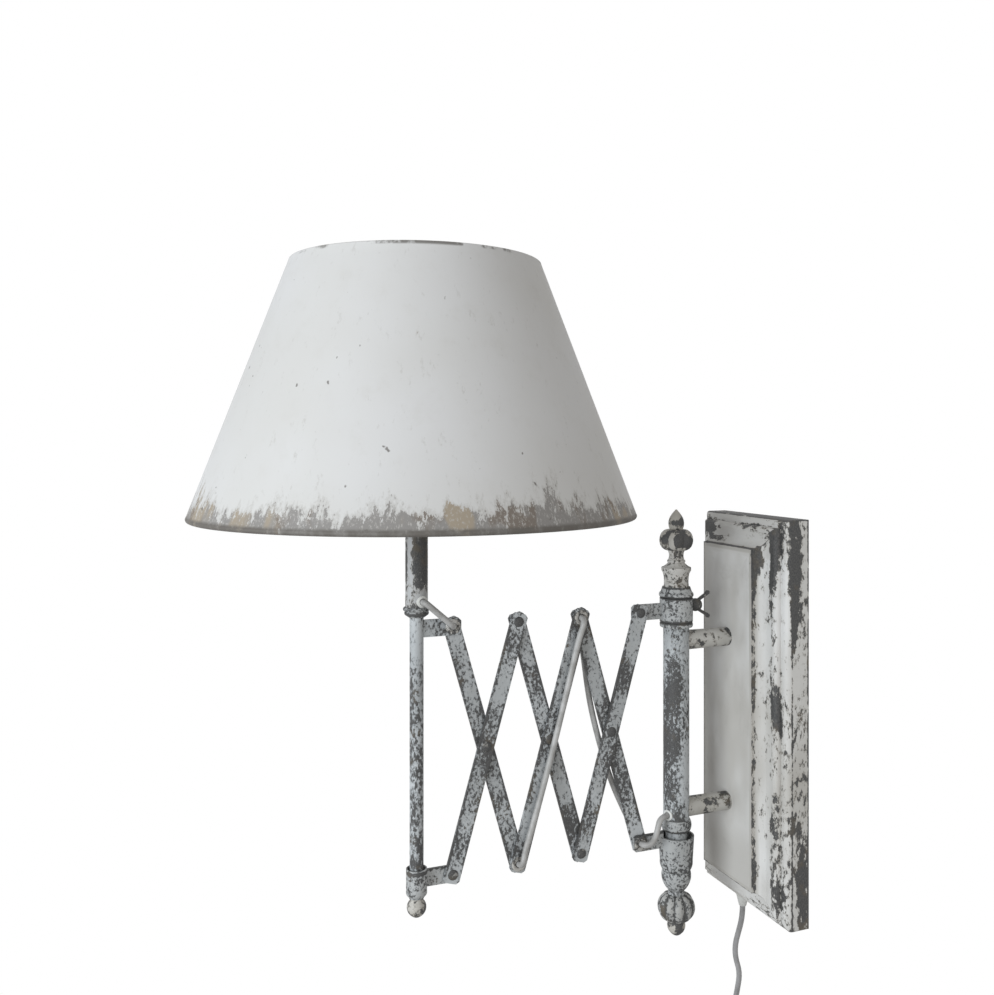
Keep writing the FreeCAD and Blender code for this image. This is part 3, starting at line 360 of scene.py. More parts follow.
def plate_rule(f):
    """More wear on the moulding's edges and outer side, nearly none on the panel; and a mask of painted
    shade.
    """
    x, y, z = f.axes(f.place)
    from_side, from_end = plate_half_width - x.size(), plate_half_height - z.size()
    across = from_side.low(from_end)
    depth = 0.0 - y
    panel = across.step(panel_edge, panel_edge + 1 * MM)
    side = across.step(0.0006, 0.0002)
    crown = z.step(crown_start, crown_full)
    mitre = (from_side - from_end).near(0.0, 0.0011) * (1.0 - panel)
    edges = across.near(arris, 0.0009) * (0.085 + crown * 0.14) + mitre * 0.05
    for (line, width), strength in moulding_lines:
        edges = edges + across.near(line * MM, width * MM) * strength
    for (line, width), strength in side_lines:
        edges = edges + side * depth.near(line * MM, width * MM) * strength
    left_inner = across.near(panel_edge, 0.0014) * x.step(-0.030, -0.035)
    top_edge, left_edge = z.step(0.1886, 0.1892), x.step(-0.0690, -0.0700)
    edges = edges + left_inner * 0.12 + top_edge * 0.16 + left_edge * 0.10
    hollow = across.step(hollow_start, 0.0085) * across.step(hollow_end, 0.0140) * (0.020 - crown * 0.024)
    # painted shade: darker along the panel's edge, on the crown and the outer side, and towards the panel's
    # left side and foot
    far_side_shade = x.step(-0.012, -0.045) * panel
    painted_shade = across.near(0.0300, 0.0050).high(crown * 0.45).high(side * 0.40).high(far_side_shade * 0.85)
    painted_shade = painted_shade.high(panel * z.step(-0.060, -0.135) * 0.80)
    return edges + hollow - panel * 0.13 - 0.012, painted_shade


def plate_grain(f, upright, shift):
    """Flakes follow each run of the moulding: upright at the sides, level at the top and bottom."""
    x, _, z = f.axes(f.place)
    level = f.stretched((0.45, 1, 1), shift)
    corner = plate_half_height - plate_half_width
    return f.tint((z.size() - x.size() - corner).step(-0.0004, 0.0004), upright, level)


plate_patches = [
    ((61, -30, 168), (7, 7, 24), 0.16), ((59, -31, 148), (4, 4, 22), 0.14),
    ((56, -31, 122), (3, 4, 26), 0.11), ((44, -41, 152), (8, 7, 18), 0.17),
    ((44, -42, 128), (3, 4, 14), 0.10), ((61.5, -30, 15), (6, 6, 22), 0.115),
    ((44, -41, -142), (5, 5, 16), 0.11), ((63, -27, -160), (5, 5, 18), 0.12),
    ((57, -32, -153), (4, 5, 18), 0.10), ((60, -30, -110), (8, 6, 45), 0.035),
    ((71, -15, 145), (4, 8, 60), 0.17), ((71, -17, 85), (4, 4, 40), 0.06),
    ((71, -6, -150), (4, 8, 50), 0.13), ((71, -14, -95), (4, 6, 14), 0.06),
    ((14, -26, 180), (32, 6, 4), 0.16), ((-54, -30, 175), (20, 14, 10), 0.17),
    ((-30, -34, 166), (16, 8, 3), 0.12), ((-66, -30, 60), (5, 14, 140), 0.04)]
plate_paint = worn_paint("worn_paint_plate", bare=0.22, areas=24, flake=230, stretch=(1, 1, 0.5), seed=7.7,
                         light=(0.63, 0.635, 0.63), shade_tone=(0.41, 0.40, 0.375), gathers=0.30,
                         patches=plate_patches, place_rule=plate_rule, grain_rule=plate_grain)
print(plate_paint.name, len(plate_patches), "flakes")

# %% [markdown]
# ## The tubes' paint
# Column, pole and stem are drawn tube with a bluish paint that has worn in fine upright specks.
# They share one recipe with other numbers, and each has its own flakes at the places where the
# photograph shows them.

# %% The tubes' paint
column_patches = [
    ((7, -109, 35), (10, 8, 30), 0.05), ((6, -109, -8), (10, 9, 34), 0.055),
    ((5, -110, -55), (10, 8, 34), 0.045), ((10, -104, 30), (8, 8, 60), 0.015),
    ((0, -100, -113), (14, 14, 6), -0.13), ((8, -106, 68), (14, 14, 14), -0.05),
    ((12, -96, 0), (5, 6, 90), -0.03)]
stem_patches = [
    ((9, -353, 166), (6, 8, 31), 0.125), ((9.5, -356.5, 178), (1.5, 1.2, 26), -0.06),
    ((6, -364, 152), (3.5, 3, 34), -0.08), ((1, -366, 158), (3, 2.5, 18), 0.09),
    ((4, -362, 194), (9, 8, 9), 0.06), ((8, -352, 128), (8, 8, 6), -0.08)]
pole_patches = [
    ((6, -357, -40), (7, 7, 75), 0.03), ((4, -357, 92), (9, 9, 20), -0.06),
    ((5, -362, 40), (4, 3, 60), 0.03), ((8, -350, 70), (4, 3, 60), 0.05)]
blue_tube = {"light": (0.44, 0.465, 0.48), "shade_tone": (0.31, 0.33, 0.34), "rubbed": rubbed_cool,
             "rubbing": 0.075}
column_paint = worn_paint("worn_paint_column", bare=0.46, areas=46, flake=400, stretch=(1, 1, 0.62), seed=0.0,
                          gathers=0.30, patches=column_patches, **blue_tube)
pole_paint = worn_paint("worn_paint_pole", bare=0.44, areas=46, flake=400, stretch=(1, 1, 0.60), seed=1.4,
                        gathers=0.24, patches=pole_patches, **blue_tube)
stem_paint = worn_paint("worn_paint_stem", bare=0.36, areas=34, flake=280, stretch=(1, 1, 0.5), seed=4.2,
                        light=(0.43, 0.44, 0.45), shade_tone=(0.30, 0.305, 0.30), gathers=0.3,
                        patches=stem_patches)
standoff_paint = worn_paint("worn_paint_standoffs", bare=0.35, areas=60, flake=210, stretch=(1, 1, 1),
                            seed=6.0, light=(0.45, 0.445, 0.425), shade_tone=(0.31, 0.30, 0.27))
print(column_paint.name, pole_paint.name, stem_paint.name, standoff_paint.name)

# %% [markdown]
# ## The bars' paint
# The flat bars rub against each other and wear along their long edges.  A bar leans, so neither X
# nor Z follows its edge.  Its UV map does: it holds the place along and across the bar, and the
# rule reads the wear from it.


# %% The bars' paint
def bar_rule(f):
    """More wear along a bar's long edges; the UV holds the place along and across the bar."""
    along, across, _ = f.axes(f.uv)
    rim = across.size().step(0.0045, 0.0068)
    ends = along.size().step(0.100, 0.114)
    return rim * 0.055 - ends * 0.015, rim * 0.5


bar_patches = [
    ((3, -293, -12), (6, 10, 20), 0.045), ((2, -276, -70), (6, 12, 46), 0.045),
    ((2, -212, -80), (6, 10, 36), 0.055), ((2, -243, 34), (6, 8, 24), 0.05),
    ((3, -262, 96), (7, 18, 22), -0.045), ((0, -160, -110), (9, 22, 20), -0.03),
    ((3, -190, 40), (6, 8, 50), -0.02), ((2, -312, 40), (6, 10, 40), -0.015),
    ((3, -170, -10), (6, 12, 18), 0.03)]
bar_paint = worn_paint("worn_paint_bars", bare=0.38, areas=34, flake=360, stretch=(1, 1, 0.8), seed=2.3,
                       light=(0.46, 0.485, 0.50), shade_tone=(0.32, 0.335, 0.34), rubbed=rubbed_cool,
                       rubbing=0.06, gathers=0.34, patches=bar_patches, place_rule=bar_rule)
print(bar_paint.name, len(bar_patches), "flakes")

# %% [markdown]
# ## Paint of collars, castings and bulbs
# Where a ring meets its neighbour, a line of painted shade darkens the paint and more of it has
# chipped to bare metal.  The construction's boxes give those heights.  The castings are warmer and
# chipped more coarsely than the tubes.

# %% Collars, castings and bulbs
ring_ends = [("flange_ring", 1), ("flange_ring", 0), ("upper_collar", 0), ("lower_sleeve", 1),
             ("stop_ring", 1)]


def collar_rule(f):
    """Painted shade and chips where a ring meets its neighbour, at the top (1) or foot (0) of a node's box.
    """
    z = f.axes(f.place)[2]
    lines = z * 0.0
    for node, end in ring_ends:
        lines = lines.high(z.near(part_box(node)[end].z, 0.0024))
    return lines * 0.13, lines * 0.8


collar_patches = [
    ((11, -88, -126), (6, 7, 22), 0.06), ((10, -107, -118), (10, 12, 9), -0.035),
    ((8, -96, -158), (8, 10, 9), 0.03)]
bulb_patches = [
    ((16, -101, 168), (9, 10, 6), 0.20), ((5, -116, 170), (5, 5, 5), 0.16),
    ((11.5, -112, 169), (3.5, 3.5, 14), -0.22), ((0, -100, 180.5), (12, 12, 3.5), -0.16),
    ((5, -97, 186), (7, 7, 5), 0.10), ((3, -104, 193), (6, 6, 5), -0.10),
    ((5, -106, -200), (4, 4, 5), -0.13)]
cast_paint = worn_paint("worn_paint_castings", bare=0.36, areas=60, flake=330, stretch=(1, 1, 1), seed=5.1,
                        light=(0.50, 0.495, 0.475), shade_tone=(0.36, 0.35, 0.33), gathers=0.36)
collar_paint = worn_paint("worn_paint_collars", bare=0.38, areas=50, flake=380, stretch=(1, 1, 1), seed=8.3,
                          light=(0.42, 0.435, 0.44), shade_tone=(0.30, 0.31, 0.31), rubbed=rubbed_cool,
                          gathers=0.26, patches=collar_patches, place_rule=collar_rule)
bulb_paint = worn_paint("worn_paint_bulbs", bare=0.54, areas=85, flake=360, stretch=(1, 1, 1), seed=9.6,
                        light=(0.48, 0.47, 0.44), shade_tone=(0.34, 0.325, 0.29), patches=bulb_patches)
print(cast_paint.name, collar_paint.name, bulb_paint.name)

# %% [markdown]
# ## The melon ball's paint
# The ball at the foot has ten ribs.  Its grooves chip more and are darkened with painted shade,
# and the crests keep their paint.  The angle about the upright axis tells groove from crest, so the
# wear needs no map of its own.

# %% The melon ball's paint
melon_ribs = 10


def valley_rule(f):
    """More wear and painted shade along the grooves of the melon ball."""
    x, y, _ = f.axes(f.place)
    turn = x.sum("ARCTAN2", x, column_y - y)
    crest = x.sum("COSINE", turn * (melon_ribs / 2)).size()
    return crest.step(0.5, 0.1) * 0.09 - crest.step(0.7, 1.0) * 0.045, crest.step(0.6, 0.0)


melon_patches = [
    ((4, -116, -180), (8, 7, 9), 0.05), ((15, -92, -187), (7, 9, 6), 0.05),
    ((13, -108, -176), (5, 5, 8), -0.06)]
melon_paint = worn_paint("worn_paint_melon", bare=0.45, areas=70, flake=330, stretch=(1, 1, 1), seed=3.9,
                         light=(0.47, 0.475, 0.47), shade_tone=(0.31, 0.31, 0.30), rubbed=rubbed_cool,
                         gathers=0.30, patches=melon_patches, place_rule=valley_rule)
print(melon_paint.name, len(melon_patches), "flakes")

# %% [markdown]
# ## The shade's paint
# The spun shade is a smooth matt off-white.  Only its lower edge is rubbed in a ragged band with
# rusty tongues, and its top rim is worn down to the metal in spots.  The band comes from the
# height over the edge and an upright noise, which gives the streaks of a dry brush.

# %% The shade's paint
shade_low, shade_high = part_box("shade")
shade_full = shade_high.z - shade_low.z
shade_bump = 0.2 * MM
low_rim, top_rim = 5.0 * MM, 3.0 * MM
print("shade box", [round(v, 4) for v in shade_low], [round(v, 4) for v in shade_high])
shade_tongues = [
    ((175, -414, 207), (9, 9, 11)), ((180, -383, 214), (6, 6, 16)), ((185, -374, 207), (10, 10, 12)),
    ((131, -222, 204), (9, 9, 10)), ((181, -320, 207), (9, 9, 11))]


def shade_streaks(f, height, small):
    """Where the lower edge is worn, and where the metal under it is tan."""
    drops = f.grain(150.0, 5.0, 0.72, f.stretched((1, 1, 0.22)))
    reach = f.grain(16.0, 4.0, 0.65, f.stretched((1, 1, 0.3), (7.3, 0.6, 0))).step(0.25, 0.8)
    level = 1.0 - height / (0.007 + 0.036 * reach)
    amount = drops * 0.70 + small * 0.30 + level.step(-0.6, 1.0) * 0.30 - 0.10
    tan = f.grain(20.0, 3.0, 0.6, f.stretched((1, 1, 0.3), (0, 3.0, 5.0)))
    for centre, sizes in shade_tongues:
        tongue = f.inside(centre, sizes, 1.5, 0.2)
        amount = amount + tongue * 0.10
        tan = tan + tongue * 0.09
    return amount, tan


def shade_dark(f, height):
    """Bare metal on both rolled edges and in small specks between them."""
    ragged = f.grain(70.0, 4.0, 0.7).step(0.34, 0.56)
    rim = (low_rim - height).step(-0.0014, 0.0016) * (0.60 + 0.40 * ragged)
    spots = f.grain(30.0, 5.0, 0.7).step(0.46, 0.58)
    top = (height - (shade_full - top_rim)).step(-0.0008, 0.0012) * spots * 0.85
    speck = f.grain(115.0, 2.0, 0.5, f.stretched((1, 1, 1), (1.3, 5.2, 3.3))).step(0.725, 0.77)
    return rim.high(top).high(speck * 0.8)


def shade_finish():
    """Off-white paint, worn in upright streaks along the lower edge."""
    f = Finish("shade_paint_worn")
    height = f.axes(f.place)[2] - shade_low.z
    cloud = f.grain(5.0, 3.0, 0.55).step(0.35, 0.7)
    mottle = f.grain(38.0, 4.0, 0.7)
    fine = f.grain(420.0, 3.0, 0.6)
    small = f.grain(520.0, 3.0, 0.7, f.stretched((1, 1, 0.5), (2.0, 0, 1.0)))
    paint = f.tint(cloud, (0.555, 0.56, 0.565), (0.515, 0.515, 0.505))
    paint = f.tint(mottle.step(0.5, 0.8) * 0.22, paint, (0.43, 0.42, 0.395))
    amount, tan = shade_streaks(f, height, small)
    worn = amount.step(0.572, 0.612)
    veil = amount.step(0.47, 0.57) * 0.35
    metal = f.tint(tan.step(0.52, 0.60), (0.215, 0.208, 0.200), (0.285, 0.245, 0.190))
    brown = f.grain(34.0, 3.0, 0.6, f.stretched((1, 1, 0.3), (5.0, 1.0, 0))).step(0.55, 0.63)
    metal = f.tint(brown * 0.75, metal, (0.135, 0.108, 0.085))
    metal = f.tint(small.step(0.52, 0.66) * 0.55, metal, (0.43, 0.42, 0.40))
    dark = shade_dark(f, height)
    colour = f.tint(worn, f.tint(veil, paint, (0.33, 0.32, 0.30)), metal)
    colour = f.tint(dark, colour, (0.100, 0.092, 0.082))
    relief = (1.0 - dark.high(worn)) * 0.6 + mottle * 0.2 + fine * 0.05
    return f.surface(Base_Color=colour, Roughness=0.62 + 0.12 * fine, Metallic=dark * 0.1,
                     Normal=f.bump(relief, 0.2, shade_bump))


shade_paint = shade_finish()
print(shade_paint.name, len(shade_tongues), "tongues")

# %% [markdown]
# ## Steel, rubber, cord and plastic
# The rivets and the parts that were never painted are dark steel.  Grommets and cord are soft
# plastic, which is dull and a little soiled.  These plain finishes share one function, because
# only their tones and their shine differ.

# %% Small finishes
plain_bump = 0.2 * MM


def plain_finish(name, light, dark, scale, rough, metal=0.0):
    """A finish with cloudy tone, fine roughness and a slight bump."""
    f = Finish(name)
    tone = f.grain(scale, 4.0, 0.65)
    fine = f.grain(scale * 9, 3.0, 0.6)
    return f.surface(Base_Color=f.tint(tone.step(0.35, 0.7), light, dark), Metallic=metal,
                     Roughness=rough + 0.12 * fine - 0.06,
                     Normal=f.bump(tone * 0.5 + fine * 0.5, 0.15, plain_bump))


rivet_steel = worn_paint("worn_paint_rivets", bare=0.90, areas=90, flake=320, stretch=(1, 1, 1), seed=3.3,
                         light=(0.30, 0.305, 0.31), shade_tone=(0.24, 0.24, 0.235))
bare_steel = plain_finish("bare_steel", (0.11, 0.11, 0.11), (0.05, 0.05, 0.05),
                          scale=60, rough=0.45, metal=0.6)
zinc_steel = plain_finish("zinc_steel", (0.42, 0.42, 0.40), (0.28, 0.28, 0.27),
                          scale=50, rough=0.40, metal=0.85)
white_rubber = plain_finish("white_rubber", (0.66, 0.67, 0.65), (0.55, 0.555, 0.54), scale=90, rough=0.55)
cord_cover = plain_finish("cord_cover", (0.40, 0.40, 0.395), (0.27, 0.268, 0.26), scale=70, rough=0.50)
lead_cover = plain_finish("lead_cover", (0.295, 0.295, 0.30), (0.235, 0.235, 0.235), scale=70, rough=0.48)
white_plastic = plain_finish("white_plastic", (0.62, 0.62, 0.60), (0.55, 0.55, 0.53), scale=40, rough=0.38)
black_plastic = plain_finish("black_plastic", (0.028, 0.028, 0.028), (0.018, 0.018, 0.018),
                             scale=40, rough=0.35)
pin_metal = plain_finish("pin_metal", (0.62, 0.60, 0.55), (0.50, 0.48, 0.44),
                         scale=80, rough=0.22, metal=1.0)
print(len(bpy.data.materials), "finishes made")

# %% [markdown]
# ## The tied coil
# The cord's unseen length hangs in a coil on the wall, tied once.  It could be a spring-like
# helix, but a real coil is wound flat: it runs inwards on the wall layer, climbs, and runs
# outwards on the front one.  The function gives its centre line, turn by turn.

# %% The coil
cord_diameter = 5.5 * MM
cord_radius = cord_diameter / 2
coil_turns, climb_turns = 8, 0.5
coil_middle, coil_pitch, layer_pitch = 32.0 * MM, 6.8 * MM, 7.0 * MM
coil_wall_gap, coil_centre_z = 3.8 * MM, -350.0 * MM
tail_length = 34.0 * MM
steady_turns = (coil_turns - climb_turns) / 2
coil_outer = coil_middle + steady_turns * coil_pitch / 2
coil_inner = coil_middle - steady_turns * coil_pitch / 2


def layer_y(level):
    """Depth of a layer of the coil: 0 lies on the wall, 1 in front of it."""
    return -coil_wall_gap - cord_radius - level * layer_pitch


def coil_point(turns):
    """Centre line of the coil: inwards on the wall layer, then outwards on the front one."""
    to_end = coil_turns - turns
    if turns <= steady_turns:
        r, level = coil_outer - turns * coil_pitch, 0.0
    elif to_end <= steady_turns:
        r, level = coil_outer - to_end * coil_pitch, 1.0
    else:
        share = (turns - steady_turns) / climb_turns
        r, level = coil_inner, share * share * (3 - 2 * share)
    angle = math.pi + turns * 2 * math.pi
    return Vector((r * math.cos(angle), layer_y(level), coil_centre_z + r * math.sin(angle)))


print("coil radii %.4f to %.4f m" % (coil_inner, coil_outer))

# %% [markdown]
# ## The supply cord's way
# The cord leaves the wall plate's lower edge and hangs in a soft double bend, as in the
# photograph, before it meets the coil.  The hanging points are measured from the relief, so the
# cord stays in it if the construction moves.

# %% The supply cord's way
relief_low, relief_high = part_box("strain_relief")
exit_point = Vector(((relief_low.x + relief_high.x) / 2, (relief_low.y + relief_high.y) / 2, relief_low.z))
hang = [(0, 0, 0), (-0.5, 0, -11), (-4.3, -0.8, -25), (-10.4, -2.0, -43), (-12.8, -0.5, -58),
        (-9.8, 3.2, -73)]
route = [exit_point + Vector(p) * MM for p in hang]
# the way on to the coil's outer turn: (beside it, below the exit) in millimetres
for beside, below in ((7.5, 93), (0, 116)):
    route.append(Vector((-coil_outer + beside * MM, layer_y(0), exit_point.z - below * MM)))
route.append(Vector((-coil_outer, layer_y(0), coil_centre_z + cord_diameter)))
per_turn = 16
route += [coil_point(i / per_turn) for i in range(coil_turns * per_turn + 1)]
route += [coil_point(coil_turns) - Vector((0, 0, drop)) for drop in (cord_diameter, tail_length)]
print(len(route), "points on the way")

# %% [markdown]
# ## A cord is one curve
# A soft round cord is a NURBS curve with a round bevel: it stays smooth where it bends, and it
# keeps its thickness.  The length is measured on a copy without the bevel.


# %% The supply cord
def smooth_cord(name, points, radius, material):
    """A round cord on one NURBS spline."""
    curve = bpy.data.curves.new(name, "CURVE")
    curve.dimensions = "3D"
    curve.resolution_u = 4
    curve.bevel_depth = radius
    curve.bevel_resolution = 3
    curve.use_fill_caps = True
    spline = curve.splines.new("NURBS")
    spline.points.add(len(points) - 1)
    for point, place in zip(spline.points, points):
        point.co = (*place, 1.0)
    spline.order_u = 3
    spline.use_endpoint_u = True
    curve.materials.append(material)
    return in_scene(name, curve)


def cord_length(cord):
    """Length of the curve's own line, measured on a copy with no bevel."""
    plain = cord.data.copy()
    plain.bevel_depth = 0
    probe = bpy.data.objects.new("probe", plain)
    line = bpy.data.meshes.new_from_object(probe)
    places = [vertex.co for vertex in line.vertices]
    total = sum((places[edge.vertices[0]] - places[edge.vertices[1]]).length for edge in line.edges)
    bpy.data.objects.remove(probe)
    bpy.data.meshes.remove(line)
    bpy.data.curves.remove(plain)
    return total


supply_cord = smooth_cord("supply_cord", route, cord_radius, lead_cover)
supply_length = cord_length(supply_cord)
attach(supply_cord, "wall_unit")
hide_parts("supply_cord_lead", "supply_cord_coil")
print("supply cord %.3f m" % supply_length)

# %% [markdown]
# ## The arm's pivots
# The lazy-tongs is a row of equal crossings, so all its pivots follow from one spacing and one
# pitch.  The numbers are the construction's, in millimetres.

# %% The arm's pivots
hole_spacing, closed_pitch = 225.0, 61.5
upper_z = 101.5
lower_z = upper_z - math.sqrt(hole_spacing ** 2 - closed_pitch ** 2)
wall_pivot_y = -139.5


def pivot(column, upper):
    """Pivot number `column`, counted from the wall, in the upper or the lower row."""
    return Vector((0, wall_pivot_y - column * closed_pitch, upper_z if upper else lower_z))


print("lower pivots at %.2f mm" % lower_z)

# %% [markdown]
# ## A length along a bar
# Between two hollow rivets the cord lies along a bar, now in front, now behind, with some slack.
# Each length moves with its bar, so each is a curve of its own, from rivet to rivet.  The bows
# say how far it sags from the bar's middle.

# %% A length along a bar
front_outer, head_height, cord_air = 2.8, 1.8, 0.45
cord_lie = front_outer + head_height + cord_radius / MM + cord_air
apart = 0.3
# the turn out of a hollow rivet: (away from the bar, along it)
eye_turn = [(8.0, 0.0), (11.7, 5.4), (cord_lie + 0.9, 15.0)]


def bar_route(start, end, side, bows):
    """Route from one hollow rivet to the next along a bar; `bows` are (share of the way, sag sideways)."""
    run = end - start
    along = run.normalized()
    sideways = Vector((0, along.z, -along.y))
    out = Vector((side, 0, 0))

    def turn(centre, onward):
        return [centre + out * away + onward * forth for away, forth in eye_turn]

    points = [start + out * apart] + turn(start, along)
    points += [start + run * share + sideways * bow + out * cord_lie for share, bow in bows]
    return points + list(reversed(turn(end, -along))) + [end + out * apart]


print("a cord lies %.1f mm from the arm's middle plane" % cord_lie)

# %% [markdown]
# ## The arm's cords
# The other lengths enter the column and the stem through rubber grommets.  They end a hair's
# breadth apart inside the hollow rivets, so that no length cuts its neighbour when the arm turns.


# %% The arm's cords
def hole_line(axis_y, height, turn, side):
    """Gives the point at any distance from a tube's axis, on the line of the hole in its side.

    The line turns from the wall's side (1) or from the room's side (-1) towards X.
    """
    angle = math.radians(turn)
    centre, out = Vector((0, axis_y, height)), Vector((math.sin(angle), side * math.cos(angle), 0))
    return lambda distance: centre + out * distance


def steps_from(origin, *steps):
    """Points given by their steps from one origin."""
    return [origin + Vector(step) for step in steps]


def arm_cord(name, node, body, cover, points):
    """A cord along these points, in millimetres, in the place of a construction node."""
    length = smooth_cord(name, [Vector(p) * MM for p in points], cord_radius, cover)
    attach(length, body)
    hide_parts(node)
    print(name, "%.3f m" % cord_length(length))


at_column_hole = hole_line(axis_y=-100, height=-91.5, turn=20, side=-1)
at_stem_hole = hole_line(axis_y=-356, height=125.7, turn=75, side=1)
sleeve_eye, lamp_eye = pivot(0, False), pivot(3, True)
wall_eye, middle_eye = pivot(1, True), pivot(2, False)
block_foot = Vector((0, 0, -87.5))
arm_routes = {
    "stem_cord": ("lamp", [
        (0, -356, 240), (0.1, -356, 205), (-1.6, -356.5, 172), at_stem_hole(-4.2) + Vector((0, 0, 18)),
        at_stem_hole(-4.6), *steps_from(at_stem_hole(13.4), (0, 0, 0), (2.2, 2.6, -2.2)),
        *steps_from(lamp_eye, (12.8, -12.5, 10.4), (10.8, 0, 0), (apart, 0, 0))]),
    "cord_back_lamp": ("back_lamp_bar", bar_route(lamp_eye, middle_eye, -1, [(0.3, 0.3), (0.7, 0.8)])),
    "cord_front_middle": ("front_middle_bar", bar_route(
        middle_eye, wall_eye, 1, [(0.2, 1.9), (0.45, 2.4), (0.68, 1.8), (0.84, 0.8)])),
    "cord_back_wall": ("back_wall_bar", bar_route(
        wall_eye, sleeve_eye, -1, [(0.18, 4.0), (0.36, 9.6), (0.54, 10.6), (0.72, 9.0), (0.86, 3.8)])),
    "arm_cord_loop": ("lower_sleeve", [
        *steps_from(sleeve_eye, (apart, 0, 0), (8.5, 0, 0), (12.6, 6.0, 2.0), (10.4, 11.2, 6.4),
                    (8.8, 14.6, 13.4)),
        at_column_hole(23.45), at_column_hole(13.65)]),
    "inner_cords": ("wall_unit", [
        at_column_hole(13.3), at_column_hole(3.0),
        *steps_from(block_foot, (0, -80, -0.4), (0.05, -50, 0), (0, -28, 0.1), (12, -18, 1.5),
                    (22, -12, 11.5), (22, -10, 24.5), (12, -9, 33.5), (6, -9, 41.5)), (6, -9, -40)]),
}
inner_lead = [(-6, -9, -40), (-6, -9, -50), (-14, -9.5, -59), (-22, -10, -70), (-22.6, -11, -92),
              (-21.2, -11.3, -128), (-20.7, -11.5, -158), (-20.7, -11.5, -178.5)]
for node, (body, points) in arm_routes.items():
    arm_cord("length_" + node, node, body, cord_cover, points)
arm_cord("lead_inside", "inner_cords", "wall_unit", lead_cover, inner_lead)

# %% [markdown]
# ## Pieces that keep the construction's shape
# Many pieces are already right in the frame, but their mesh is loose triangles with hard edges.
# Modelling them again would risk their fit.  A merged copy gets flat faces back, a fine bevel on
# its edges and smooth shading.

# %% Refined copies
sharp_angle, flat_angle = math.radians(32), math.radians(1.0)
weld_distance = 0.01 * MM


def one_finish(mesh, material):
    """This finish and smooth shading on every face of a mesh."""
    mesh.materials.clear()
    mesh.materials.append(material)
    for polygon in mesh.polygons:
        polygon.use_smooth = True
        polygon.material_index = 0


def piece_for(node, mesh, name=None):
    """An object that takes the place of a construction node, on the same body."""
    piece = in_scene("piece_" + (name or node), mesh)
    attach(piece, frame["nodes"][node]["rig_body"])
    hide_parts(node)
    return piece


def refined(node, material, bevel):
    """A merged and bevelled copy of a construction node, on the same body."""
    mesh = frame["nodes"][node].data.copy()
    mesh.name = "refined_" + node
    work = bmesh.new()
    work.from_mesh(mesh)
    bmesh.ops.remove_doubles(work, verts=work.verts, dist=weld_distance)
    bmesh.ops.dissolve_limit(work, angle_limit=flat_angle, verts=work.verts, edges=work.edges)
    work.to_mesh(mesh)
    work.free()
    one_finish(mesh, material)
    mesh.set_sharp_from_angle(angle=sharp_angle)
    piece = piece_for(node, mesh)
    if bevel:
        edge = piece.modifiers.new("edges", "BEVEL")
        edge.width = bevel
        edge.segments = 2
        edge.limit_method = "ANGLE"
        edge.angle_limit = sharp_angle
        edge.harden_normals = True
    return piece


print("ready to refine")

# %% [markdown]
# ## Which finish goes where
# One table names every refined piece with its finish, its colour slot and its edges' width.  Small
# pressed parts have sharper edges than cast ones, and round tubes need no bevel.

# %% The table of pieces
# the finish, the colour slot and the edge's width in millimetres, then the nodes that have them
refined_groups = [
    (plate_paint, "painted_metal", 0.5, ["wall_plate"]),
    (standoff_paint, "painted_metal", 0.2, ["standoffs"]),
    (column_paint, "painted_metal", 0.0, ["column_tube", "guide_rod"]),
    (collar_paint, "painted_metal", 0.4, ["stop_ring"]),
    (collar_paint, "painted_metal", 0.3, ["flange_ring", "lower_bead", "vase", "upper_collar", "lower_sleeve",
                                          "lamp_sleeve", "stem_beads"]),
    (cast_paint, "painted_metal", 0.3, ["finial_cup"]),
    (bulb_paint, "painted_metal", 0.2, ["top_bud", "tip_ball", "ball_finial"]),
    (rivet_steel, "painted_metal", 0.3, ["wing_screw"]),
    (pole_paint, "painted_metal", 0.3, ["pole_tube"]),
    (stem_paint, "painted_metal", 0.0, ["stem_tube"]),
    (bar_paint, "painted_metal", 0.35, ["bar_front_wall", "bar_back_wall", "bar_front_middle",
                                        "bar_back_middle", "bar_front_lamp", "bar_back_lamp"]),
    (bare_steel, "bare_steel", 0.2, ["shade_spider"]),
    (bare_steel, "bare_steel", 0.0, ["finial_stud", "lower_stud"]),
    (zinc_steel, "zinc_steel", 0.3, ["mounting_strap", "nipple_nuts"]),
    (zinc_steel, "zinc_steel", 0.2, ["nipples"]),
    (white_rubber, "white_rubber", 0.2, ["column_grommet", "stem_grommet"]),
    (white_rubber, "white_rubber", 0.3, ["strain_relief"]),
    (white_plastic, "white_plastic", 0.3, ["terminal_block"]),
    (white_plastic, "white_plastic", 0.2, ["cord_tie"]),
    (white_plastic, "white_plastic", 0.5, ["plug_body"]),
    (pin_metal, "pin_metal", 0.0, ["plug_pins"]),
    (black_plastic, "black_plastic", 0.3, ["lampholder_base", "lampholder_skirt", "shade_ring_nut"]),
]
made = {node: refined(node, paint, width * MM) for paint, slot, width, nodes in refined_groups
        for node in nodes}
print(len(made), "refined copies")

# %% [markdown]
# ## A bar's own directions
# The bars' paint reads the place along and across each bar.  A bar lies between two pivots, so
# its direction is known, and the UV map is worked out instead of unwrapped.


# %% A bar's own directions
def lay_along(mesh, upper, lower):
    """UV of a bar: metres along it from its middle, and across it."""
    centre, along = (upper + lower) / 2, (upper - lower).normalized()
    sideways = Vector((0, along.z, -along.y))
    layer = mesh.uv_layers.new(name="bar")
    for loop in mesh.loops:
        offset = mesh.vertices[loop.vertex_index].co - centre * MM
        layer.data[loop.index].uv = (offset.dot(along), offset.dot(sideways))


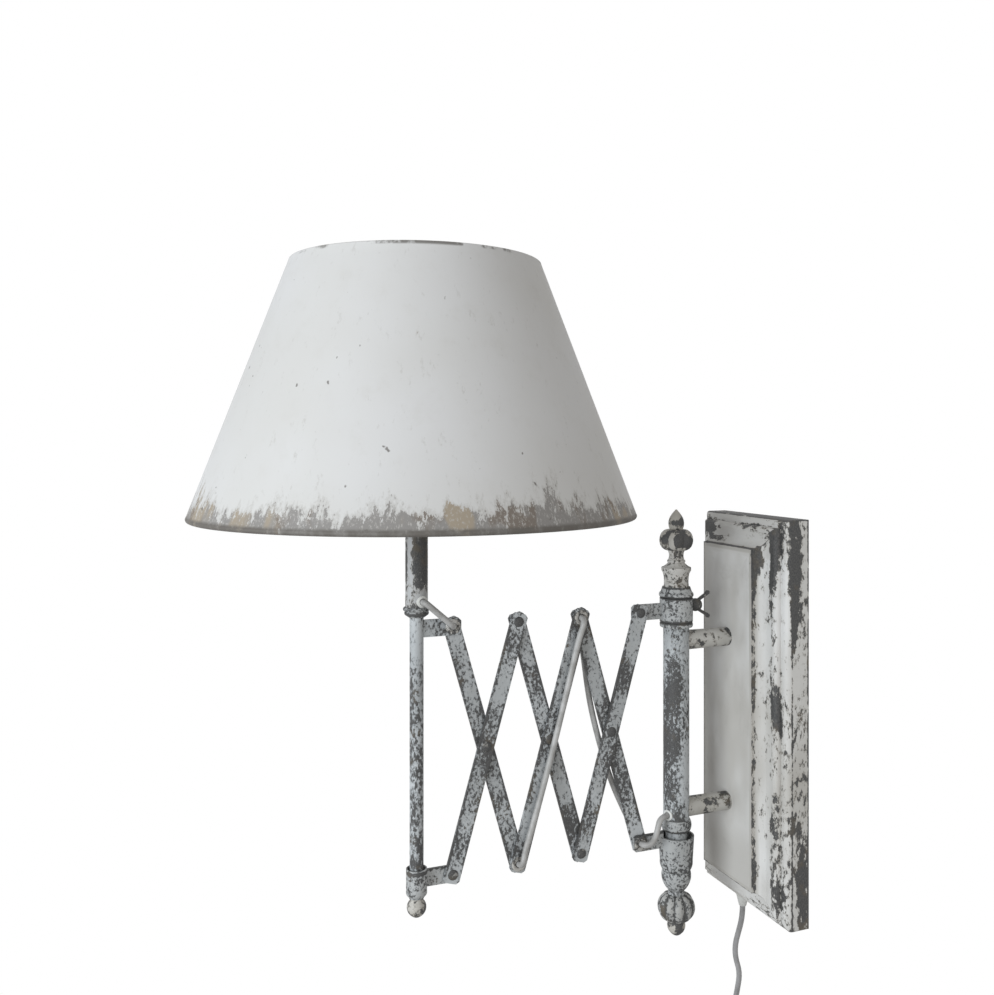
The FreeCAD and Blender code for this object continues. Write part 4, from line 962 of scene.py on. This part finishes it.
bar_ends = {"front_wall": (0, 1), "back_wall": (1, 0), "front_middle": (1, 2), "back_middle": (2, 1),
            "front_lamp": (2, 3), "back_lamp": (3, 2)}
for bar, (top, foot) in bar_ends.items():
    lay_along(made["bar_" + bar].data, pivot(top, True), pivot(foot, False))
print(len(bar_ends), "bars laid out")

# %% The cord's exit
print("the cord leaves the plate at", [round(v, 4) for v in exit_point])

# %% [markdown]
# ## Shapes that follow a rule
# Geometry Nodes make what repeats or follows a formula.  The class below starts a tree with named
# inputs for its sizes, ends it in Realize Instances and Set Material, and turns the result into a
# plain mesh, because the export drops instances.


# %% Geometry node trees
class Shape(Graph):
    """A geometry node tree in the making, with named inputs."""

    def __init__(self, name, **inputs):
        super().__init__(bpy.data.node_groups.new(name, "GeometryNodeTree"))
        make = self.tree.interface.new_socket
        make(name="Geometry", in_out="INPUT", socket_type="NodeSocketGeometry")
        make(name="Geometry", in_out="OUTPUT", socket_type="NodeSocketGeometry")
        for key, value in inputs.items():
            kind = "Vector" if hasattr(value, "__len__") else "Int" if isinstance(value, int) else "Float"
            kind = "Material" if isinstance(value, bpy.types.Material) else kind
            make(name=key, in_out="INPUT", socket_type="NodeSocket" + kind).default_value = value
        self.entry = self.tree.nodes.new("NodeGroupInput")

    def given(self, name):
        return Wire(self, self.entry.outputs[name])

    def vector(self, x, y, z):
        return self.add("ShaderNodeCombineXYZ", {}, {"X": x, "Y": y, "Z": z})

    def transform(self, geometry, **values):
        return self.add("GeometryNodeTransform", {}, {"Geometry": geometry, **values})

    def join(self, *parts):
        node = self.tree.nodes.new("GeometryNodeJoinGeometry")
        for part in reversed(parts):
            self.tree.links.new(part.socket, node.inputs[0])
        return Wire(self, node.outputs[0])

    def close(self, geometry):
        """Ends the tree in Realize Instances and Set Material, with the paint as an input."""
        real = self.add("GeometryNodeRealizeInstances", {}, {"Geometry": geometry})
        smooth = self.add("GeometryNodeSetShadeSmooth", {}, {"Geometry": real, "Shade Smooth": True})
        values = {"Geometry": smooth, "Material": self.given("Paint")}
        self.end("NodeGroupOutput", self.add("GeometryNodeSetMaterial", {}, values))

    def mesh(self, name, points=(), **values):
        """The tree's plain mesh with these inputs, on these starting points."""
        base = bpy.data.meshes.new(name + "_points")
        base.from_pydata([tuple(p) for p in points], [], [])
        carrier = in_scene(name, base)
        modifier = carrier.modifiers.new("shape", "NODES")
        modifier.node_group = self.tree
        for item in self.tree.interface.items_tree:
            if item.in_out == "INPUT" and item.name in values:
                modifier[item.identifier] = values[item.name]
        depsgraph = bpy.context.evaluated_depsgraph_get()
        result = bpy.data.meshes.new_from_object(carrier.evaluated_get(depsgraph), depsgraph=depsgraph)
        bpy.data.objects.remove(carrier)
        result.name = name
        one_finish(result, values["Paint"])
        return result


print("shape trees ready")

# %% [markdown]
# ## The ribbed balls
# The two cast balls of the column are ribbed: their radius follows the height, and it swells
# between two grooves.  Sculpting would make the ribs uneven.  A tree states the rule once, and
# each ball is one setting of it.


# %% Ribbed balls
def ribbed_ball_tree():
    """A drum whose radius follows the height and the ribs."""
    g = Shape("ribbed_ball", Ribs=6, Radius=0.017, Neck=0.008, Depth=0.002, Height=0.02,
              Centre=(0.0, 0.0, 0.0), Paint=bulb_paint)
    drum = g.add("GeometryNodeMeshCylinder", {"fill_type": "NGON"},
                 {"Vertices": 240, "Side Segments": 40, "Radius": 1.0, "Depth": 2.0})
    x, y, z = g.axes(g.add("GeometryNodeInputPosition", {}, {}))
    turn = x.sum("ARCTAN2", x, 0.0 - y)
    lean = z * (math.pi / 2)
    swell, rise = lean.sum("COSINE", lean), lean.sum("SINE", lean)
    wave = turn * g.given("Ribs") * 0.5
    groove = 1.0 - wave.sum("COSINE", wave).size()
    neck = g.given("Neck")
    radius = neck + (g.given("Radius") - neck) * swell - g.given("Depth") * swell * groove
    cx, cy, cz = g.axes(g.given("Centre"))
    place = g.vector(cx + x * radius, cy + y * radius, cz + rise * g.given("Height") * 0.5)
    g.close(g.add("GeometryNodeSetPosition", {}, {"Geometry": drum, "Position": place}))
    return g


ribbed_ball = ribbed_ball_tree()
# ribs, then radius, neck and depth of the grooves in millimetres, and the paint
ribbed_balls = {"top_ball": (6, 17.2, 7.8, 2.3, bulb_paint),
                "melon_ball": (melon_ribs, 17.9, 8.1, 1.9, melon_paint)}
for node, (ribs, radius, neck, depth, paint) in ribbed_balls.items():
    low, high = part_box(node)
    ball = ribbed_ball.mesh(node, Ribs=ribs, Radius=radius * MM, Neck=neck * MM, Depth=depth * MM,
                            Height=high.z - low.z, Centre=(0.0, column_y, (low.z + high.z) / 2), Paint=paint)
    piece_for(node, ball)
    print(node, len(ball.polygons), "faces")

# %% [markdown]
# ## Rivets and hollow rivets
# A rivet is a shank with a rounded head on each side.  The hollow ones, which let the cord
# through, have a rolled ring for a head.  Both are a profile turned about the pivot's axis, so
# one tree makes them all: Curve to Mesh turns the profile, and the heads differ only in the
# sweep of an arc.


# %% The rivet tree
def rivet_shape():
    """Solid or hollow rivets on the given points, across both layers of bars, with a head on each side."""
    g = Shape("rivets", Shank=0.0025, Bore=0.0, Middle=0.0, Width=0.0046, Height=0.0018, Sweep=math.pi / 2,
              Reach=0.00281, Paint=rivet_steel)
    small = 1 * MM
    round_path = g.add("GeometryNodeCurvePrimitiveCircle", {"mode": "RADIUS"},
                       {"Resolution": 40, "Radius": small})

    def turned(profile):
        return g.add("GeometryNodeCurveToMesh", {}, {"Curve": round_path, "Profile Curve": profile})

    dome = g.add("GeometryNodeCurveArc", {"mode": "RADIUS"}, {
        "Resolution": 12, "Radius": 1.0, "Start Angle": 0.0, "Sweep Angle": g.given("Sweep"),
        "Connect Center": True})
    dome = g.transform(dome, Scale=g.vector(g.given("Width"), g.given("Height"), 1.0),
                       Translation=g.vector(g.given("Middle") - small, g.given("Reach"), 0.0))
    wall = g.add("GeometryNodeCurvePrimitiveQuadrilateral", {"mode": "RECTANGLE"}, {
        "Width": g.given("Shank") - g.given("Bore"), "Height": g.given("Reach") * 2.0})
    middle = (g.given("Shank") + g.given("Bore")) * 0.5 - small
    shank = turned(g.transform(wall, Translation=g.vector(middle, 0.0, 0.0)))
    head = turned(dome)
    other = g.transform(head, Rotation=(math.pi, 0.0, 0.0))
    one = g.transform(g.join(head, other, shank), Rotation=(0.0, math.pi / 2, 0.0))
    closed = g.add("GeometryNodeMergeByDistance", {}, {"Geometry": one, "Distance": 0.005 * MM})
    g.close(g.add("GeometryNodeInstanceOnPoints", {}, {"Points": g.given("Geometry"), "Instance": closed}))
    return g


rivet_tree = rivet_shape()
solid_rivet = {"Shank": 2.5 * MM, "Bore": 0.0, "Middle": 0.0, "Width": 4.6 * MM, "Height": 1.8 * MM,
               "Sweep": math.pi / 2, "Paint": rivet_steel}
eyelet = {"Shank": 3.65 * MM, "Bore": 3.05 * MM, "Middle": 4.925 * MM, "Width": 1.875 * MM,
          "Height": 1.2 * MM, "Sweep": math.pi, "Paint": cast_paint}
print("shanks of %.1f and %.1f mm" % (solid_rivet["Shank"] / MM * 2, eyelet["Shank"] / MM * 2))

# %% [markdown]
# ## Rivets on their pivots
# Each rivet belongs to one bar and moves with it.  The table gives the pivots of each body, the
# tree puts a rivet on every one of them, and one mesh for each body comes back.


# %% Rivets on their pivots
def crossing(column):
    """Middle rivet of cross number `column`, counted from the wall."""
    return (pivot(column, True) + pivot(column + 1, False)) / 2


# the piece, the construction node that it stands for, its sizes and its pivots
rivet_places = [
    ("rivet_collar", "rivet_collar", solid_rivet, [pivot(0, True)]),
    ("eyelet_back_wall", "eyelet_back_wall", eyelet, [wall_eye]),
    ("rivets_front_wall", "rivets_front_wall", solid_rivet, [crossing(0), pivot(1, False)]),
    ("eyelet_lower_sleeve", "eyelet_lower_sleeve", eyelet, [sleeve_eye]),
    ("rivets_front_middle", "rivets_front_middle", solid_rivet, [crossing(1)]),
    ("eyelet_front_middle", "rivets_front_middle", eyelet, [middle_eye]),
    ("rivet_back_middle", "rivet_back_middle", solid_rivet, [pivot(2, True)]),
    ("rivets_front_lamp", "rivets_front_lamp", solid_rivet, [crossing(2), pivot(3, False)]),
    ("eyelet_pole", "eyelet_pole", eyelet, [lamp_eye])]
for name, node, sizes, places in rivet_places:
    heads = rivet_tree.mesh(name, [p * MM for p in places], **sizes)
    piece_for(node, heads, name)
    print(name, len(heads.polygons), "faces")

# %% [markdown]
# ## The turned shade
# The shade is one sheet between two rolled edges, the only large smooth form of the lamp.  Its
# copy from the construction showed facet lines, so it is turned anew: a closed outline with fine
# arcs at the edges, swept about the upright axis in 288 steps.

# %% The turned shade
shade_lean = (107 - 190) / 218.2
low_bead, top_bead = 2.4 * MM, 1.6 * MM


def lathe(name, outline, centre, segments=288):
    """A closed outline of (radius, height), turned about the upright axis through `centre`."""
    points, faces = [], []
    for step in range(segments):
        turn = 2 * math.pi * step / segments
        points += [(centre.x + r * math.sin(turn), centre.y - r * math.cos(turn), h) for r, h in outline]
    count = len(outline)
    for step in range(segments):
        here, there = step * count, (step + 1) % segments * count
        for i in range(count):
            j = (i + 1) % count
            faces.append((here + i, there + i, there + j, here + j))
    mesh = bpy.data.meshes.new(name)
    mesh.from_pydata(points, [], faces)
    work = bmesh.new()
    work.from_mesh(mesh)
    bmesh.ops.recalc_face_normals(work, faces=work.faces)
    work.to_mesh(mesh)
    work.free()
    return mesh


def arc(centre_r, centre_h, radius, start, end, steps):
    """Points on a circle of the outline, from one angle to another, in degrees."""
    turns = [math.radians(start + (end - start) * k / steps) for k in range(steps + 1)]
    return [(centre_r + radius * math.cos(t), centre_h + radius * math.sin(t)) for t in turns]


def between(first, last, rows=26):
    """Points of a straight run of the sheet, without its ends."""
    first, last = Vector(first), Vector(last)
    return [tuple(first.lerp(last, k / rows)) for k in range(1, rows)]


def shade_outline():
    """The sheet between two rolled edges, whose beads fill the box of the construction's shade."""
    foot, head = shade_low.z + low_bead, shade_high.z - top_bead
    wide = (shade_high.x - shade_low.x) / 2
    narrow = wide + shade_lean * (head - foot)
    # each arc starts and ends where a face of the sheet meets the bead
    bottom = arc(wide - low_bead, foot, low_bead, 77.7, 401.6, 30)
    top = arc(narrow - top_bead, head, top_bead, 0.0, 311.3, 24)
    return bottom + between(bottom[-1], top[0]) + top + between(top[-1], bottom[0])


shade_mesh = lathe("turned_shade", shade_outline(), (shade_low + shade_high) / 2)
one_finish(shade_mesh, shade_paint)
piece_for("shade", shade_mesh)
print("shade", len(shade_mesh.polygons), "faces")

# %% [markdown]
# ## The floor
# The lamp hangs on a wall that the photograph doesn't show.  A pale round floor well below it
# keeps a faint shadow and nothing more.

# %% The floor
floor_radius, floor_centre = 0.9, (0, -0.2, -1.3)


def studio_floor():
    f = Finish("studio_floor")
    tone = f.grain(3.0, 2.0).step(0.4, 0.6)
    f.surface(Base_Color=f.tint(tone, (0.80, 0.80, 0.79), (0.78, 0.78, 0.77)), Roughness=0.9)
    mesh = bpy.data.meshes.new("floor")
    work = bmesh.new()
    bmesh.ops.create_circle(work, cap_ends=True, segments=96, radius=floor_radius,
                            matrix=Matrix.Translation(floor_centre))
    work.to_mesh(mesh)
    work.free()
    mesh.materials.append(f.material)
    in_scene("floor", mesh)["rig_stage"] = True


studio_floor()
print("floor of", floor_radius * 2, "m")

# %% [markdown]
# ## White background, soft light
# A white surround would wash out the paint.  The Light Path node splits the two jobs: the camera
# and reflections see white, and the object gets a weaker, warmer light.


# %% The surround
def white_world(strength, tone):
    """Light of `strength` for the object, plain white for the camera and for reflections."""
    world = bpy.data.worlds.new("studio")
    bpy.context.scene.world = world
    world.use_nodes = True
    world.node_tree.nodes.clear()
    g = Graph(world.node_tree)
    rays = g.tree.nodes.new("ShaderNodeLightPath").outputs
    kinds = ("Camera", "Transmission", "Glossy")
    camera, through, glossy = [Wire(g, rays["Is %s Ray" % kind]) for kind in kinds]
    light = g.add("ShaderNodeBackground", {}, {"Color": tone, "Strength": strength})
    white = g.add("ShaderNodeBackground", {}, {"Color": (1.0, 1.0, 1.0), "Strength": 1.0})
    seen = camera.high(through).high(glossy)
    g.end("ShaderNodeOutputWorld", g.add("ShaderNodeMixShader", {}, {0: seen, 1: light, 2: white}))


bpy.context.scene.view_settings.view_transform = "Standard"
white_world(0.385, (1.0, 0.98, 0.955))
print("surround", bpy.context.scene.world.name)

# %% [markdown]
# ## Two soft lamps
# The photograph is brightest on the left and falls off to the right.  One large disk on the left
# does that with soft edges, and a weak one on the right keeps the far sides readable.


# %% Soft lamps
def soft_lamp(name, place, aim, size, watts, tone):
    """A round soft light that shines from `place` at `aim`."""
    data = bpy.data.lights.new(name, "AREA")
    data.shape = "DISK"
    data.size = size
    data.energy = watts
    data.color = tone
    lamp = in_scene(name, data)
    lamp.location = place
    lamp.rotation_euler = (Vector(aim) - Vector(place)).to_track_quat("-Z", "Y").to_euler()


soft_lamp("key_lamp", (0.9, -2.3, 0.35), aim=(0, -0.25, 0.1), size=1.6, watts=49, tone=(0.925, 0.965, 1.0))
soft_lamp("fill_lamp", (1.9, 0.3, 0.6), aim=(0, -0.2, 0.1), size=1.2, watts=7.5, tone=(1.0, 0.97, 0.92))
print("stage and lamps ready")

# %% [markdown]
# ## The visual box
# The visual model has to stay in the construction's box; the last cell prints the box it fills.

# %% Finish
low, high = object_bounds()
print("visual box", [round(v, 3) for v in low], [round(v, 3) for v in high])
